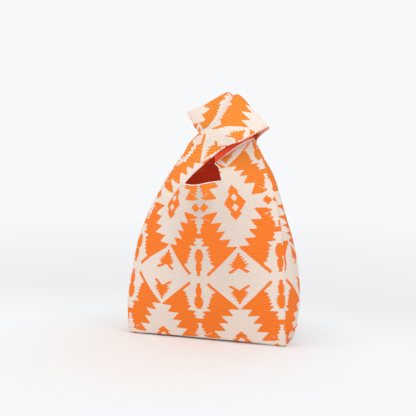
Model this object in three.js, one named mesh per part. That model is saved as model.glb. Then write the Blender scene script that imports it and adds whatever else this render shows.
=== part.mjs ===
// Knitted Japanese knot bag: a boxed knit body, a short handle band folded over a ridge,
// and a long handle that runs through it and hangs behind. Millimetres, +Z up, front is -Y.
import * as THREE from "three";

// Driving sizes
const WIDTH = 200; // base, corner to corner
const DEPTH = 44; // base, front to back
const BODY_HEIGHT = 189; // floor to the mouth on the centre line
const MOUTH_RISE = 8; // extra height of the mouth at the right seam
const KNIT = 2.4; // outer jacquard knit
const LINING = 1.2; // red lining knit
const GAP = 0.4; // clearance between neighbouring pieces
const SEAM_RADIUS = 1.5; // linked seams
const HEM_RADIUS = 1.5; // rolled hems
const GUSSET_SWELL = 3; // outward swell of each side
const CORNER_HEIGHT = 17; // boxed corner under each side, up to its seam
const BOTTOM_SEAM = 6; // how far the seam under the base lies behind the centre line
const NECK_HEIGHT = 34; // long handle, gathered inside the short one
const NECK_THICKNESS = 9;
const LOOP_WIDTH = 44; // free loop of the long handle
const LOOP_LENGTH = 146; // its hanging length
const LOOP_OPENING = 13; // hand gap between its two layers
const LOOP_AXIS = new THREE.Vector3(-35, 52, 10); // pivot of the loop, from the mouth centre
const LOOP_BEAD_RADIUS = 3; // rolled seam that the loop turns on
const LOOP_SEWN = 0.86; // share of the hanging length where the layers meet the bend seam
const LOOP_HEAD = 0.02; // share of their opening that the layers have at the bead
const THROAT_LIFT = 2.7; // the throat ends this far above the bead

// Where the body's cloth runs, bottom to top in equal steps: [x / half width, y / half depth]
const LEFT_SEAM = [[-1, -0.91], [-1.025, -0.86], [-1, -0.59], [-0.94, -0.27], [-0.8, 0.14], [-0.595, 0.27]];
const RIGHT_SEAM = [[0.99, -1], [0.997, -1.18], [0.986, -1.23], [0.965, -1.2], [0.895, -1.05], [0.78, -0.86]];
const FRONT_SPINE = [[-0.06, -1], [-0.06, -1.36], [-0.05, -1.55], [-0.04, -1.64], [-0.04, -1.64], [-0.05, -1.55]];
const BACK_RIGHT = [[0.965, 0.82], [1, 1.27], [0.985, 1.34], [0.93, 1.2], [0.825, 1], [0.72, 0.73]];
const BACK_LEFT = [[-0.965, 0.91], [-1, 1.23], [-0.98, 1.32], [-0.91, 1.27], [-0.78, 1.14], [-0.58, 0.91]];
const BACK_SPINE = [[0, 1], [0, 1.41], [0, 1.55], [0, 1.55], [0, 1.41], [0, 1.14]];

// Share of the half panel, from the centre spine, that the mouth takes on each side
const MOUTH_LEFT = 0.36;
const MOUTH_RIGHT = 0.36;
const BACK_MOUTH_LEFT = 0.6;
const BACK_MOUTH_RIGHT = 0.55;

// Handle rails above the mouth, from the mouth centre
const SHORT_SPINE = [[-50, 5, 14], [-31, -1, 28], [-17, -9, 45], [-5, -17, 59], [12, -21, 71], [27, -10, 103]];
const SHORT_HEM = [[-14.5, -25, 10.5], [8, -29, 27], [22, -33, 36], [36, -38, 44], [51, -40, 50], [80, -31, 65.5]];
const SHORT_REAR = [[-49, 17, 14], [-33, 13, 28], [-21, 7, 43], [-13, -4, 54], [-6, -9, 66], [-5, -1, 91]];
const SHORT_REAR_HEM = [[-33, 19, 14], [-24, 17, 28], [-17, 14, 42], [-18, 10, 52], [-23, 7, 62], [-34, 6, 77]];
const RIDGE_BACK = [[-34, 10.2, 76], [-3, 2.1, 93], [27, -6.2, 102], [54, -11, 82], [79, -26.5, 64]];
const SHORT_FOOT = [[-14, 28, 6], [-1, 29, 6], [12, 29, 6], [25, 28, 6.5], [38, 26, 7]];
const BACK_EDGE = [[79, -26.5, 64], [50, 9, 49], [45, 22, 36], [40, 27, 20], [38, 26, 7]];
const SHORT_BACK_SWELL = 22; // how far the end of the band stands out behind
const SHORT_FRONT_SWELL = 3; // how far each front half stands out between its edges
const LONG_SEAM = [[70.4, -16, 20.5], [63, -14, 36], [56, -11, 49], [46, -7, 58]];
const LONG_FOLD = [[14.3, -24, 22], [17, -21, 33], [27, -18, 43], [38, -14, 52]];
const LONG_CORNER = [[65, 13, 20], [57, 10, 33], [49, 7, 45], [42, 3, 54]];
const LONG_REAR_HEM = [[40, 19, 19], [38, 16, 30], [37, 12, 41], [36, 8, 50]];
const FACING_HEM = [[14.6, -29.5, 23], [25, -30, 30], [36, -32, 37], [45, -34, 43], [55, -36, 49], [63, -36, 53]];
const FACING_FOLD = [[13, -26, 30], [23, -27, 38], [33, -28, 46], [41, -29, 52], [49, -30, 57], [58, -31, 60]];
const NECK_PATH = [[36.6, 0.4, 37.5], [14, 5, 42], [-6, 16, 39], [-21, 26, 32], [-32, 34, 23], [-35, 41, 18]];

// Places
const mouth = new THREE.Vector3(0, 0, BODY_HEIGHT);
const floorTop = KNIT + GAP;
const liningDepth = KNIT + 2 * GAP;
const rootGap = 2 * GAP; // a handle starts this far above the panel that it grows from
const seamDepth = 1.35 * SEAM_RADIUS; // how far a side seam lies inside a square corner
const edgeInset = KNIT + 2 * GAP; // panels stop this far from a corner, and the seam fills it
const liningInset = liningDepth + LINING + 4 * GAP;

// Materials
const knit = new THREE.MeshStandardMaterial({ color: 0xf0a468, roughness: 0.9, metalness: 0 });
const red = new THREE.MeshStandardMaterial({ color: 0xc8442e, roughness: 0.9, metalness: 0 });
const yarn = new THREE.MeshStandardMaterial({ color: 0xf0dccb, roughness: 0.85, metalness: 0 });

const bag = new THREE.Group();

// Smooth rail through [x, y] shares of the body at equal steps of height
function bodyRail(stations) {
  const points = stations.map(([x, y]) => new THREE.Vector3((x * WIDTH) / 2, (y * DEPTH) / 2, 0));
  return new THREE.CatmullRomCurve3(points, false, "centripetal");
}

// Smooth rail through points given from the mouth centre, with an optional first point
function handleRail(points, start = null) {
  const placed = points.map(([x, y, z]) => new THREE.Vector3(x, y, z).add(mouth));
  if (start) placed.unshift(start);
  return new THREE.CatmullRomCurve3(placed, false, "centripetal");
}

// Curve value at the t-th share of its control points
const at = (rail, t) => rail.getPoint(THREE.MathUtils.clamp(t, 0, 1));

// Parabola through a at w = -1, b at w = 0 and c at w = 1
function parabola(a, b, c, w) {
  const slope = c.clone().sub(a).multiplyScalar(w / 2);
  const bend = a.clone().add(c).multiplyScalar(0.5).sub(b).multiplyScalar(w * w);
  return b.clone().add(slope).add(bend);
}

const rails = {
  left: bodyRail(LEFT_SEAM),
  right: bodyRail(RIGHT_SEAM),
  front: bodyRail(FRONT_SPINE),
  backRight: bodyRail(BACK_RIGHT),
  backLeft: bodyRail(BACK_LEFT),
  back: bodyRail(BACK_SPINE),
};

// Height of the mouth edge, higher toward the right seam
const mouthHeight = (w) => BODY_HEIGHT + MOUTH_RISE * Math.max(0, w);

// A point of a body wall: w runs -1..1 across it, h runs 0..1 up it
function wall(a, b, c, rightA, rightC) {
  return (w, h) => {
    const p = parabola(at(a, h), b(h), at(c, h), w);
    const side = THREE.MathUtils.lerp(rightA, rightC, (w + 1) / 2);
    p.z = mouthHeight(side) * h;
    return p;
  };
}
const swollen = (a, c, out) => (h) => at(a, h).lerp(at(c, h), 0.5).add(new THREE.Vector3(out, 0, 0));
const frontWall = wall(rails.left, (h) => at(rails.front, h), rails.right, -1, 1);
const rightWall = wall(rails.right, swollen(rails.right, rails.backRight, GUSSET_SWELL), rails.backRight, 1, 1);
const backWall = wall(rails.backRight, (h) => at(rails.back, h), rails.backLeft, 1, -1);
const leftWall = wall(rails.backLeft, swollen(rails.backLeft, rails.left, -GUSSET_SWELL), rails.left, -1, -1);

// Adds a named mesh to the bag
function add(name, geometry, material) {
  const mesh = new THREE.Mesh(geometry, material);
  mesh.name = name;
  bag.add(mesh);
}

// Closed solid from rings of points: each ring is a closed loop, the ends are capped by a fan,
// and a ring list that joins back on itself needs no caps
function solidOfRings(rings, joined = false) {
  const sides = rings[0].length;
  const positions = rings.flat().flatMap((p) => [p.x, p.y, p.z]);
  const faces = [];
  const last = joined ? rings.length : rings.length - 1;
  for (let i = 0; i < last; i++) {
    const next = (i + 1) % rings.length;
    for (let j = 0; j < sides; j++) {
      const k = (j + 1) % sides;
      faces.push(i * sides + j, next * sides + j, next * sides + k);
      faces.push(i * sides + j, next * sides + k, i * sides + k);
    }
  }
  if (!joined) {
    const end = (rings.length - 1) * sides;
    for (let j = 1; j < sides - 1; j++) {
      faces.push(0, j, j + 1);
      faces.push(end, end + j + 1, end + j);
    }
  }
  return facingOut(positions, faces);
}

// Turns the faces round where the solid they close has a negative volume
function facingOut(positions, faces) {
  let volume = 0;
  const corner = (i) => new THREE.Vector3().fromArray(positions, faces[i] * 3);
  for (let i = 0; i < faces.length; i += 3) {
    volume += corner(i).dot(corner(i + 1).cross(corner(i + 2)));
  }
  if (volume < 0) {
    for (let i = 0; i < faces.length; i += 3) {
      [faces[i + 1], faces[i + 2]] = [faces[i + 2], faces[i + 1]];
    }
  }
  const geometry = new THREE.BufferGeometry();
  geometry.setAttribute("position", new THREE.Float32BufferAttribute(positions, 3));
  geometry.setIndex(faces);
  geometry.computeVertexNormals();
  return geometry;
}

// Unit normals of the surface point(a, b), turned so that at the middle they run along inward
function normalsOf(point, middleA, middleB, inward) {
  const step = 1e-3;
  const normalAt = (a, b) => {
    const da = point(a + step, b).sub(point(a - step, b));
    const db = point(a, b + step).sub(point(a, b - step));
    return da.cross(db).normalize();
  };
  const side = Math.sign(normalAt(middleA, middleB).dot(inward));
  return (a, b) => normalAt(a, b).multiplyScalar(side);
}

// Sheet of cloth between depths near and far under the surface point(a, b), a and b in ranges,
// closed by its rim. Depths run along inward, taken at the middle of the sheet.
function sheet(point, aRange, bRange, aSteps, bSteps, near, far, inward) {
  const layers = [near, far].map(() => []);
  const normalAt = normalsOf(point, (aRange[0] + aRange[1]) / 2, (bRange[0] + bRange[1]) / 2, inward);
  for (let i = 0; i <= aSteps; i++) {
    for (let j = 0; j <= bSteps; j++) {
      const a = THREE.MathUtils.lerp(aRange[0], aRange[1], i / aSteps);
      const b = THREE.MathUtils.lerp(bRange[0], bRange[1], j / bSteps);
      const middle = point(a, b);
      const normal = normalAt(a, b);
      layers[0].push(middle.clone().addScaledVector(normal, near));
      layers[1].push(middle.clone().addScaledVector(normal, far));
    }
  }
  const row = bSteps + 1;
  const count = layers[0].length;
  const positions = layers.flat().flatMap((p) => [p.x, p.y, p.z]);
  const faces = [];
  const quad = (p, q, r, s) => faces.push(p, q, r, p, r, s);
  for (let i = 0; i < aSteps; i++) {
    for (let j = 0; j < bSteps; j++) {
      const p = i * row + j;
      quad(p, p + row, p + row + 1, p + 1);
      quad(count + p, count + p + 1, count + p + row + 1, count + p + row);
    }
  }
  for (let i = 0; i < aSteps; i++) {
    const low = i * row;
    const high = low + bSteps;
    quad(low, count + low, count + low + row, low + row);
    quad(high, high + row, count + high + row, count + high);
  }
  for (let j = 0; j < bSteps; j++) {
    const first = j;
    const end = aSteps * row + j;
    quad(first, first + 1, count + first + 1, count + first);
    quad(end, count + end, count + end + 1, end + 1);
  }
  return facingOut(positions, faces);
}

// Round cord along a list of points
function cord(points, radius, steps, joined = false) {
  const curve = new THREE.CatmullRomCurve3(points, joined, "centripetal");
  const frames = curve.computeFrenetFrames(steps, joined);
  const rings = [];
  const sides = 6;
  const ringCount = joined ? steps : steps + 1;
  for (let i = 0; i < ringCount; i++) {
    const centre = curve.getPointAt(i / steps);
    const ring = [];
    for (let j = 0; j < sides; j++) {
      const angle = (j / sides) * 2 * Math.PI;
      const out = frames.normals[i].clone().multiplyScalar(Math.cos(angle) * radius);
      out.addScaledVector(frames.binormals[i], Math.sin(angle) * radius);
      ring.push(centre.clone().add(out));
    }
    rings.push(ring);
  }
  return solidOfRings(rings, joined);
}

const inFront = new THREE.Vector3(0, -1, 0);
const behind = new THREE.Vector3(0, 1, -0.3).normalize();

// Body walls and their linings: panel, lining, surface, inward, steps across and height of the foot
const sideFoot = CORNER_HEIGHT + 2 * (SEAM_RADIUS + GAP);
const walls = [
  ["front_panel", "front_lining", frontWall, new THREE.Vector3(0, 1, 0), 10, floorTop],
  ["back_panel", "back_lining", backWall, new THREE.Vector3(0, -1, 0), 8, floorTop],
  ["left_gusset", "left_lining", leftWall, new THREE.Vector3(1, 0, 0), 3, sideFoot],
  ["right_gusset", "right_lining", rightWall, new THREE.Vector3(-1, 0, 0), 3, sideFoot],
];
// A wall's surface narrowed by an inset from its two corners
const narrow = (surface, inset) => (w, h) => {
  const span = surface(1, h).distanceTo(surface(-1, h)) / 2;
  return surface(w * (1 - inset / span), h);
};
const share = (height) => height / BODY_HEIGHT;
const bodyRows = 9;
for (const [panel, lining, surface, inward, steps, foot] of walls) {
  const outer = narrow(surface, edgeInset);
  add(panel, sheet(outer, [-1, 1], [share(foot), 1], steps, bodyRows, 0, KNIT, inward), knit);
  const inner = narrow(surface, liningInset);
  const rows = [share(floorTop + 2 * SEAM_RADIUS + GAP + LINING + 2 * GAP), 1 - share(HEM_RADIUS)];
  add(lining, sheet(inner, [-1, 1], rows, steps, bodyRows, liningDepth, liningDepth + LINING, inward), red);
}

// Boxed corner under each side: a turned-in piece and the seam that joins it to the side
const corners = [
  ["left", leftWall, new THREE.Vector3(1, 0, 0)],
  ["right", rightWall, new THREE.Vector3(-1, 0, 0)],
];
for (const [side, surface, inward] of corners) {
  const rows = [share(floorTop), share(CORNER_HEIGHT)];
  add(side + "_corner", sheet(narrow(surface, edgeInset), [-1, 1], rows, 3, 2, 0, KNIT, inward), knit);
  const points = [];
  for (let i = 0; i <= 4; i++) {
    const p = narrow(surface, edgeInset + SEAM_RADIUS)(-1 + i / 2, share(CORNER_HEIGHT + SEAM_RADIUS + GAP));
    points.push(p.addScaledVector(inward, KNIT / 2));
  }
  add(side + "_corner_seam", cord(points, SEAM_RADIUS, 6), yarn);
}

// Base outline: the feet of the walls, drawn in by an inset, from the given walls in turn
function baseOutline(inset, surfaces) {
  const points = [];
  for (const [surface, from, to] of surfaces) {
    for (let i = 0; i < 6; i++) {
      const p = surface(THREE.MathUtils.lerp(from, to, i / 6), 0);
      points.push(new THREE.Vector2(p.x - Math.sign(p.x) * inset, p.y - Math.sign(p.y) * inset));
    }
  }
  return points;
}

function plate(name, outline, depth, bottom, material) {
  const geometry = new THREE.ExtrudeGeometry(new THREE.Shape(outline), { depth, bevelEnabled: false });
  geometry.translate(0, 0, bottom);
  add(name, geometry, material);
}

// The base is the turned-under ends of the front and back, which meet edge to edge, with the ridge
// of their seam inside and the lining over it
const allWalls = [[frontWall, -1, 1], [rightWall, -1, 1], [backWall, -1, 1], [leftWall, -1, 1]];
const half = (side) => {
  const edge = BOTTOM_SEAM + (side * GAP) / 2;
  const kept = baseOutline(0, allWalls).filter((p) => (p.y - edge) * side > 0);
  const ends = kept.map((p) => p.x);
  const left = new THREE.Vector2(Math.min(...ends), edge);
  const right = new THREE.Vector2(Math.max(...ends), edge);
  const ordered = kept.sort((p, q) => p.x - q.x);
  return [left, ...ordered, right];
};
plate("base_front", half(-1), KNIT, 0, knit);
plate("base_back", half(1), KNIT, 0, knit);
const seamRidge = floorTop + SEAM_RADIUS;
const bottomEnd = WIDTH / 2 - liningInset;
const bottomPoints = [-1, 0, 1].map((w) => new THREE.Vector3(w * bottomEnd, BOTTOM_SEAM, seamRidge));
add("bottom_seam", cord(bottomPoints, SEAM_RADIUS, 8), yarn);
const liningFloor = seamRidge + SEAM_RADIUS + GAP;
plate("base_lining", baseOutline(liningInset, allWalls), LINING, liningFloor, red);

// Side seams: a linked bead in each corner, from the base to the mouth
function sideSeam(name, surfaceA, wA, surfaceB, wB) {
  const points = [];
  for (let i = 0; i <= 8; i++) {
    const h = THREE.MathUtils.lerp((floorTop + SEAM_RADIUS) / BODY_HEIGHT, 1 - SEAM_RADIUS / BODY_HEIGHT, i / 8);
    const corner = surfaceA(wA, h);
    const alongA = surfaceA(wA * 0.93, h).sub(corner).setZ(0).normalize();
    const alongB = surfaceB(wB * 0.8, h).sub(corner).setZ(0).normalize();
    const halfAngle = alongA.angleTo(alongB) / 2;
    const inward = alongA.add(alongB).normalize();
    points.push(corner.addScaledVector(inward, seamDepth * Math.sin(halfAngle)));
  }
  add(name, cord(points, SEAM_RADIUS, 16), yarn);
}
sideSeam("front_left_seam", frontWall, -1, leftWall, 1);
sideSeam("front_right_seam", frontWall, 1, rightWall, -1);
sideSeam("back_right_seam", backWall, -1, rightWall, 1);
sideSeam("back_left_seam", backWall, 1, leftWall, -1);

// Short handle: front half and rear half of the band meet on the spine, and the band's end goes
// over the ridge and down behind
const shortSpine = handleRail(SHORT_SPINE, frontWall(-1, 1).add(new THREE.Vector3(0, 0, rootGap)));
const shortHem = handleRail(SHORT_HEM, frontWall(-MOUTH_LEFT, 1).add(new THREE.Vector3(0, 0, rootGap)));
const shortRear = handleRail(SHORT_REAR, backWall(1, 1).add(new THREE.Vector3(0, 0, rootGap)));
const shortRearHem = handleRail(SHORT_REAR_HEM, backWall(BACK_MOUTH_LEFT, 1).add(new THREE.Vector3(0, 0, rootGap)));
const shortFront = (s, w) => {
  const p = at(shortSpine, s).lerp(at(shortHem, s), w);
  p.y -= SHORT_FRONT_SWELL * 4 * w * (1 - w);
  return p;
};
// Share of a row, at one of its two edges, that stands for an inset measured square to that edge
function edgeShare(surface, s, edge, inset) {
  const step = 1e-3;
  const along = surface(Math.min(1, s + step), edge).sub(surface(Math.max(0, s - step), edge)).normalize();
  const reach = 0.02;
  const row = surface(s, Math.min(1, edge + reach)).sub(surface(s, Math.max(0, edge - reach))).divideScalar(reach);
  const square = row.clone().cross(along).length();
  return inset / Math.max(square, 0.3 * row.length());
}
// A handle surface cut back by an inset from each of its two edges
const trimmed = (surface, first, last) => (s, w) => {
  const from = edgeShare(surface, s, 0, first);
  const to = 1 - edgeShare(surface, s, 1, last);
  return surface(s, THREE.MathUtils.lerp(from, to, w));
};
// Rolled hem along the edge w = 1 of a handle surface, half way through its thickness
function handleHem(name, surface, from, to, inward, steps) {
  const points = [];
  const edge = trimmed(surface, 0, HEM_RADIUS);
  const normalAt = normalsOf(surface, 0.5, 0.5, inward);
  for (let i = 0; i <= steps; i++) {
    const s = THREE.MathUtils.lerp(from, to, i / steps);
    points.push(edge(s, 1).addScaledVector(normalAt(s, 1), KNIT / 2));
  }
  add(name, cord(points, HEM_RADIUS, 2 * steps), yarn);
}
const hemInset = 2 * HEM_RADIUS + 1.5 * GAP;
const shortRearHalf = (s, w) => parabola(at(shortSpine, s), at(shortRear, s), at(shortRearHem, s), 2 * w - 1);
add("short_handle_front", sheet(trimmed(shortFront, edgeInset, hemInset), [0, 1], [0, 1], 14, 5, 0, KNIT, behind), knit);
handleHem("short_handle_front_hem", shortFront, 0.02, 0.995, behind, 9);
const shortInside = trimmed(shortFront, 4 * edgeInset, hemInset);
add("short_handle_lining", sheet(shortInside, [0.02, 0.85], [0, 1], 12, 5, liningDepth, liningDepth + LINING, behind), red);
const rearInside = new THREE.Vector3(1, -1, -0.5).normalize();
const shortRearCut = trimmed(shortRearHalf, 2 * edgeInset, hemInset + 2 * GAP);
add("short_handle_rear", sheet(shortRearCut, [0, 1], [0, 1], 14, 5, 0, KNIT, rearInside), knit);
handleHem("short_handle_rear_hem", shortRearHalf, 0.02, 0.995, rearInside, 9);
const ridgeBack = handleRail(RIDGE_BACK);
const shortFoot = handleRail(SHORT_FOOT);
const backEdge = handleRail(BACK_EDGE);
const swollenBack = (a, b) => {
  const p = at(ridgeBack, a).lerp(at(shortFoot, a), b);
  p.y += SHORT_BACK_SWELL * (1 - (2 * b - 1) ** 4);
  return p;
};
// Beside the tip the band is drawn in to an edge of its own
const shortBack = (a, b) => {
  const drawn = Math.max(0, 2 * a - 1) ** 2;
  return swollenBack(a, b).addScaledVector(at(backEdge, b).sub(swollenBack(1, b)), drawn);
};
add("short_handle_back", sheet(shortBack, [0, 1], [0, 1], 10, 7, 0, KNIT, inFront), knit);

// Long handle: front and rear halves of the right band, its red facing turned out, and the neck
const longSeam = handleRail(LONG_SEAM, frontWall(1, 1).add(new THREE.Vector3(0, 0, rootGap + GAP)));
const longFold = handleRail(LONG_FOLD, frontWall(MOUTH_RIGHT, 1).add(new THREE.Vector3(0, 0, rootGap + GAP)));
const longCorner = handleRail(LONG_CORNER, backWall(-1, 1).add(new THREE.Vector3(0, 0, rootGap)));
const longRearHem = handleRail(LONG_REAR_HEM, backWall(-BACK_MOUTH_RIGHT, 1).add(new THREE.Vector3(0, 0, rootGap)));
const longFront = (s, w) => {
  const p = at(longSeam, s).lerp(at(longFold, s), w);
  p.y -= SHORT_FRONT_SWELL * 4 * w * (1 - w);
  return p;
};
const longRearHalf = (s, w) => parabola(at(longSeam, s), at(longCorner, s), at(longRearHem, s), 2 * w - 1);
add("long_handle_front", sheet(trimmed(longFront, edgeInset, hemInset), [0, 1], [0, 1], 8, 5, 0, KNIT, behind), knit);
const longInside = new THREE.Vector3(-1, -1, 0).normalize();
const longRearCut = trimmed(longRearHalf, edgeInset, hemInset);
add("long_handle_rear", sheet(longRearCut, [0, 1], [0, 1], 8, 6, 0, KNIT, longInside), knit);
handleHem("long_handle_rear_hem", longRearHalf, 0.03, 0.97, longInside, 6);
const facingHem = handleRail(FACING_HEM);
const facingFold = handleRail(FACING_FOLD);
const facing = (s, w) => at(facingHem, s).lerp(at(facingFold, s), w);
add("long_handle_facing", sheet(trimmed(facing, HEM_RADIUS + 3 * GAP, 0), [0, 1], [0, 1], 10, 2, 0, LINING, behind), red);
const facingCorner = frontWall(MOUTH_RIGHT, 1).add(new THREE.Vector3(0, 0, HEM_RADIUS + rootGap));
const facingPoints = [facingCorner, ...FACING_HEM.map(([x, y, z]) => new THREE.Vector3(x, y, z).add(mouth))];
add("long_handle_front_hem", cord(facingPoints, HEM_RADIUS, 16), yarn);
const neckPath = handleRail(NECK_PATH);
const neck = (s, w) => at(neckPath, s).add(new THREE.Vector3(0, 0, (w - 0.5) * NECK_HEIGHT));
const neckHalf = NECK_THICKNESS / 2;
add("long_handle_neck", sheet(neck, [0, 1], [0, 1], 10, 2, -neckHalf, neckHalf, inFront), knit);

// Free loop: throat, rolled bead that the loop turns on, two layers and the bend seam at the end
const loopAxis = LOOP_AXIS.clone().add(mouth);
const across = (w) => (w - 0.5) * LOOP_WIDTH;
const beadPoints = [0, 0.5, 1].map((w) => loopAxis.clone().add(new THREE.Vector3(across(w), 0, 0)));
add("long_handle_bead", cord(beadPoints, LOOP_BEAD_RADIUS, 6), yarn);
const beadSide = (LOOP_BEAD_RADIUS + GAP) * Math.SQRT1_2;
const throat = (s, w) => {
  const start = neck(1, w).add(new THREE.Vector3(0, KNIT / 2 + 3 * GAP, 0));
  const end = loopAxis.clone().add(new THREE.Vector3(across(w), -beadSide, beadSide + THROAT_LIFT));
  return start.lerp(end, s);
};
add("long_handle_throat", sheet(throat, [0, 1], [0, 1], 6, 4, -KNIT / 2, KNIT / 2, inFront), knit);

// Layer of the loop: side is -1 for the one next to the bag and 1 for the outer one
const layerGap = LOOP_BEAD_RADIUS * 0.55;
const loopLayer = (side) => (w, s) => {
  const opening = Math.sin(Math.PI * Math.min(1, s / LOOP_SEWN + LOOP_HEAD)) ** 0.7;
  const spread = layerGap + (LOOP_OPENING / 2 + KNIT - layerGap) * opening;
  const drop = LOOP_BEAD_RADIUS - GAP / 2 + s * LOOP_LENGTH;
  return loopAxis.clone().add(new THREE.Vector3(across(w), side * spread, -drop));
};
const towardOther = (side) => new THREE.Vector3(0, -side, 0);
for (const [name, side] of [["long_handle_loop_inner", -1], ["long_handle_loop_outer", 1]]) {
  add(name, sheet(loopLayer(side), [0, 1], [0, LOOP_SEWN], 3, 12, 0, KNIT / 2, towardOther(side)), knit);
}
const bendPoints = [0, 0.5, 1].map((w) => {
  const p = loopLayer(1)(w, LOOP_SEWN);
  return p.setY(loopAxis.y).add(new THREE.Vector3(0, 0, -HEM_RADIUS - GAP));
});
add("long_handle_bend_seam", cord(bendPoints, HEM_RADIUS, 6), yarn);

// Hems: rolled edges of the mouth and of the handle bands
function mouthHem(name, surface, from, to) {
  const points = [];
  for (let i = 0; i <= 8; i++) {
    const p = surface(THREE.MathUtils.lerp(from, to, i / 8), 1);
    points.push(p.add(new THREE.Vector3(0, 0, HEM_RADIUS + GAP)));
  }
  add(name, cord(points, HEM_RADIUS, 12), yarn);
}
mouthHem("front_mouth_hem", frontWall, -MOUTH_LEFT + 0.08, MOUTH_RIGHT - 0.06);
mouthHem("back_mouth_hem", backWall, -BACK_MOUTH_RIGHT + 0.06, BACK_MOUTH_LEFT - 0.06);

export default bag;
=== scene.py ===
# %% [markdown]
# # A knitted knot bag
# The bag is a soft pouch of two-colour knit with two unequal handles. The short handle is a band that is
# folded over at the top, and the long handle runs through it. The solids of the bag are loaded first, as a
# fixed frame in metres. Every cloth piece is worked out in that frame, in millimetres until it is a mesh.

# %% Load the frame
import math

import bmesh
import bpy
import numpy as np
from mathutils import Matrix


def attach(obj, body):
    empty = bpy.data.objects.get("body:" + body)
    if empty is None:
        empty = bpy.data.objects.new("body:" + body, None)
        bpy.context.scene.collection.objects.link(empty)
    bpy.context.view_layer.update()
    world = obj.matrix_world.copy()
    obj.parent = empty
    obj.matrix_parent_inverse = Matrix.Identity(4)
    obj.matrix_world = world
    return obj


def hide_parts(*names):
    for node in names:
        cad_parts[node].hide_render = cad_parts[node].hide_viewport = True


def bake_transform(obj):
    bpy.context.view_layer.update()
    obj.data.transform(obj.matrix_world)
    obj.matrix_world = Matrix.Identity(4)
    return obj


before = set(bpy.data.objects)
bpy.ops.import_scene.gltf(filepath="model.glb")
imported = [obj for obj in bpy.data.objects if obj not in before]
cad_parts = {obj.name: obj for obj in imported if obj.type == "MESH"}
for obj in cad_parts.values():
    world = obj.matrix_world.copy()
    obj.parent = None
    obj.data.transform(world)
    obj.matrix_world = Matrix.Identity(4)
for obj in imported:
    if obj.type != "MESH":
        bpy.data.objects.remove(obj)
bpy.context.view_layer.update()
MM = 0.001

# %% [markdown]
# ## Camera
# The photograph was taken with a long lens from a little above the mouth, 20 degrees round to the right.
# A camera looks along its own -Z, so it is stood up by a quarter turn, tipped down and then turned.

# %% Camera
PHOTO = 416
FOCAL = 1105  # focal length in pixels of the photo
SENSOR = 36
VIEW_AZIMUTH, VIEW_DISTANCE, VIEW_HEIGHT = math.radians(20), 1300, 325
VIEW_YAW, VIEW_TILT = math.radians(20.239), math.radians(7.429)

camera = bpy.data.objects.new("camera", bpy.data.cameras.new("camera"))
camera.data.sensor_width = SENSOR
camera.data.lens = FOCAL / PHOTO * SENSOR
across, along = math.sin(VIEW_AZIMUTH) * VIEW_DISTANCE, -math.cos(VIEW_AZIMUTH) * VIEW_DISTANCE
camera.location = [MM * x for x in (across, along, VIEW_HEIGHT)]
camera.rotation_euler = (math.pi / 2 - VIEW_TILT, 0, VIEW_YAW)
bpy.context.scene.collection.objects.link(camera)
bpy.context.scene.camera = camera
print("lens", round(camera.data.lens, 1), "mm")

# %% [markdown]
# ## The motifs
# A jacquard knit is worked from a chart: each stitch is one of two yarns. The motifs here mirror across
# every spine, 100 mm apart, and across every star row and diamond row, so only one quarter is drawn. A
# picture could hold the chart, but outlines in millimetres stay sharp at any size. The first number of each
# place is its distance from the spine or from midway between spines, the second from the star or diamond row.

# %% Motifs
SPINE = 100.0  # from spine to spine, mm of cloth
ROW = 88.5  # from a star row to the next diamond row
TREE = [(12.5, 4.2), (49.4, 38.6), (35, 38.9), (41.6, 47.8), (25.8, 47.2), (35.1, 57.4), (23.1, 57.1),
        (31.4, 68), (16, 67.7), (25.3, 80.9), (9.8, 80), (7.4, 78.6), (2.8, 77.4), (7, 72.6), (4.6, 72.2),
        (7.6, 69.6), (2.8, 68.6), (5.6, 65.2), (1.4, 63.9), (3, 62.4), (1.6, 60.6), (4.2, 57.4),
        (-1, 57.2), (-1, 51.6), (7.4, 51.5), (3.6, 48.2), (8.4, 46.4), (3.4, 42), (15.5, 41.4),
        (9.2, 35.6), (15.3, 34.9), (11, 31.5), (16, 30.6), (12.4, 27.4), (17.2, 26.5), (13.4, 23.8),
        (18.8, 22.4), (15, 20), (21.4, 16.8), (10.4, 6.8)]
SLIT = [(3, 76.4), (9, 75.2), (14.6, 72.4), (14.2, 71), (8.5, 73.6), (3, 74.8)]
SPINDLE = [(-1, 4.8), (1.9, 4.8), (1.9, 10.6), (3.6, 11), (3.6, 19.4), (2, 20.4), (2, 22.4), (5, 23.4),
           (3.2, 25), (6.2, 26), (3.6, 27.6), (6.8, 29), (3.6, 30.6), (6.6, 32), (3.2, 33.4), (5.2, 34.8),
           (2, 36), (3.5, 38), (-1, 38.2)]
SAPLING = [(-1, 31.5), (1.5, 31.2), (1.2, 27.2), (4.8, 27.8), (2.1, 24.4), (7.2, 24.2), (3.2, 21),
           (10.8, 21.8), (4.6, 18.4), (12.9, 18.2), (5.4, 16), (11, 15), (4.6, 13.8), (13.2, 8.8),
           (10, 7.4), (-1, 14.6)]
DIAMOND = [(-1, 20.6), (0, 19.6), (8.2, 11.8), (4.6, 11.3), (15.2, 0), (15.2, -1), (-1, -1)]
PIP = (6.3, 5.2)  # half axes of the lozenge beside each spine, on the diamond row
EYE, EYE_AT = (5.0, 4.8), 5.5  # half axes of the cream eyes in each diamond, and their place
print("corners in one quarter", sum(len(o) for o in (TREE, SLIT, SPINDLE, SAPLING, DIAMOND)))

# %% [markdown]
# ## The stitch chart
# The chart gives each stitch its depth inside the nearest outline, and the yarn changes where that is zero.
# A depth is better than a plain yes or no, because the edge then runs smoothly between two stitches.

# %% Stitch chart


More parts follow.
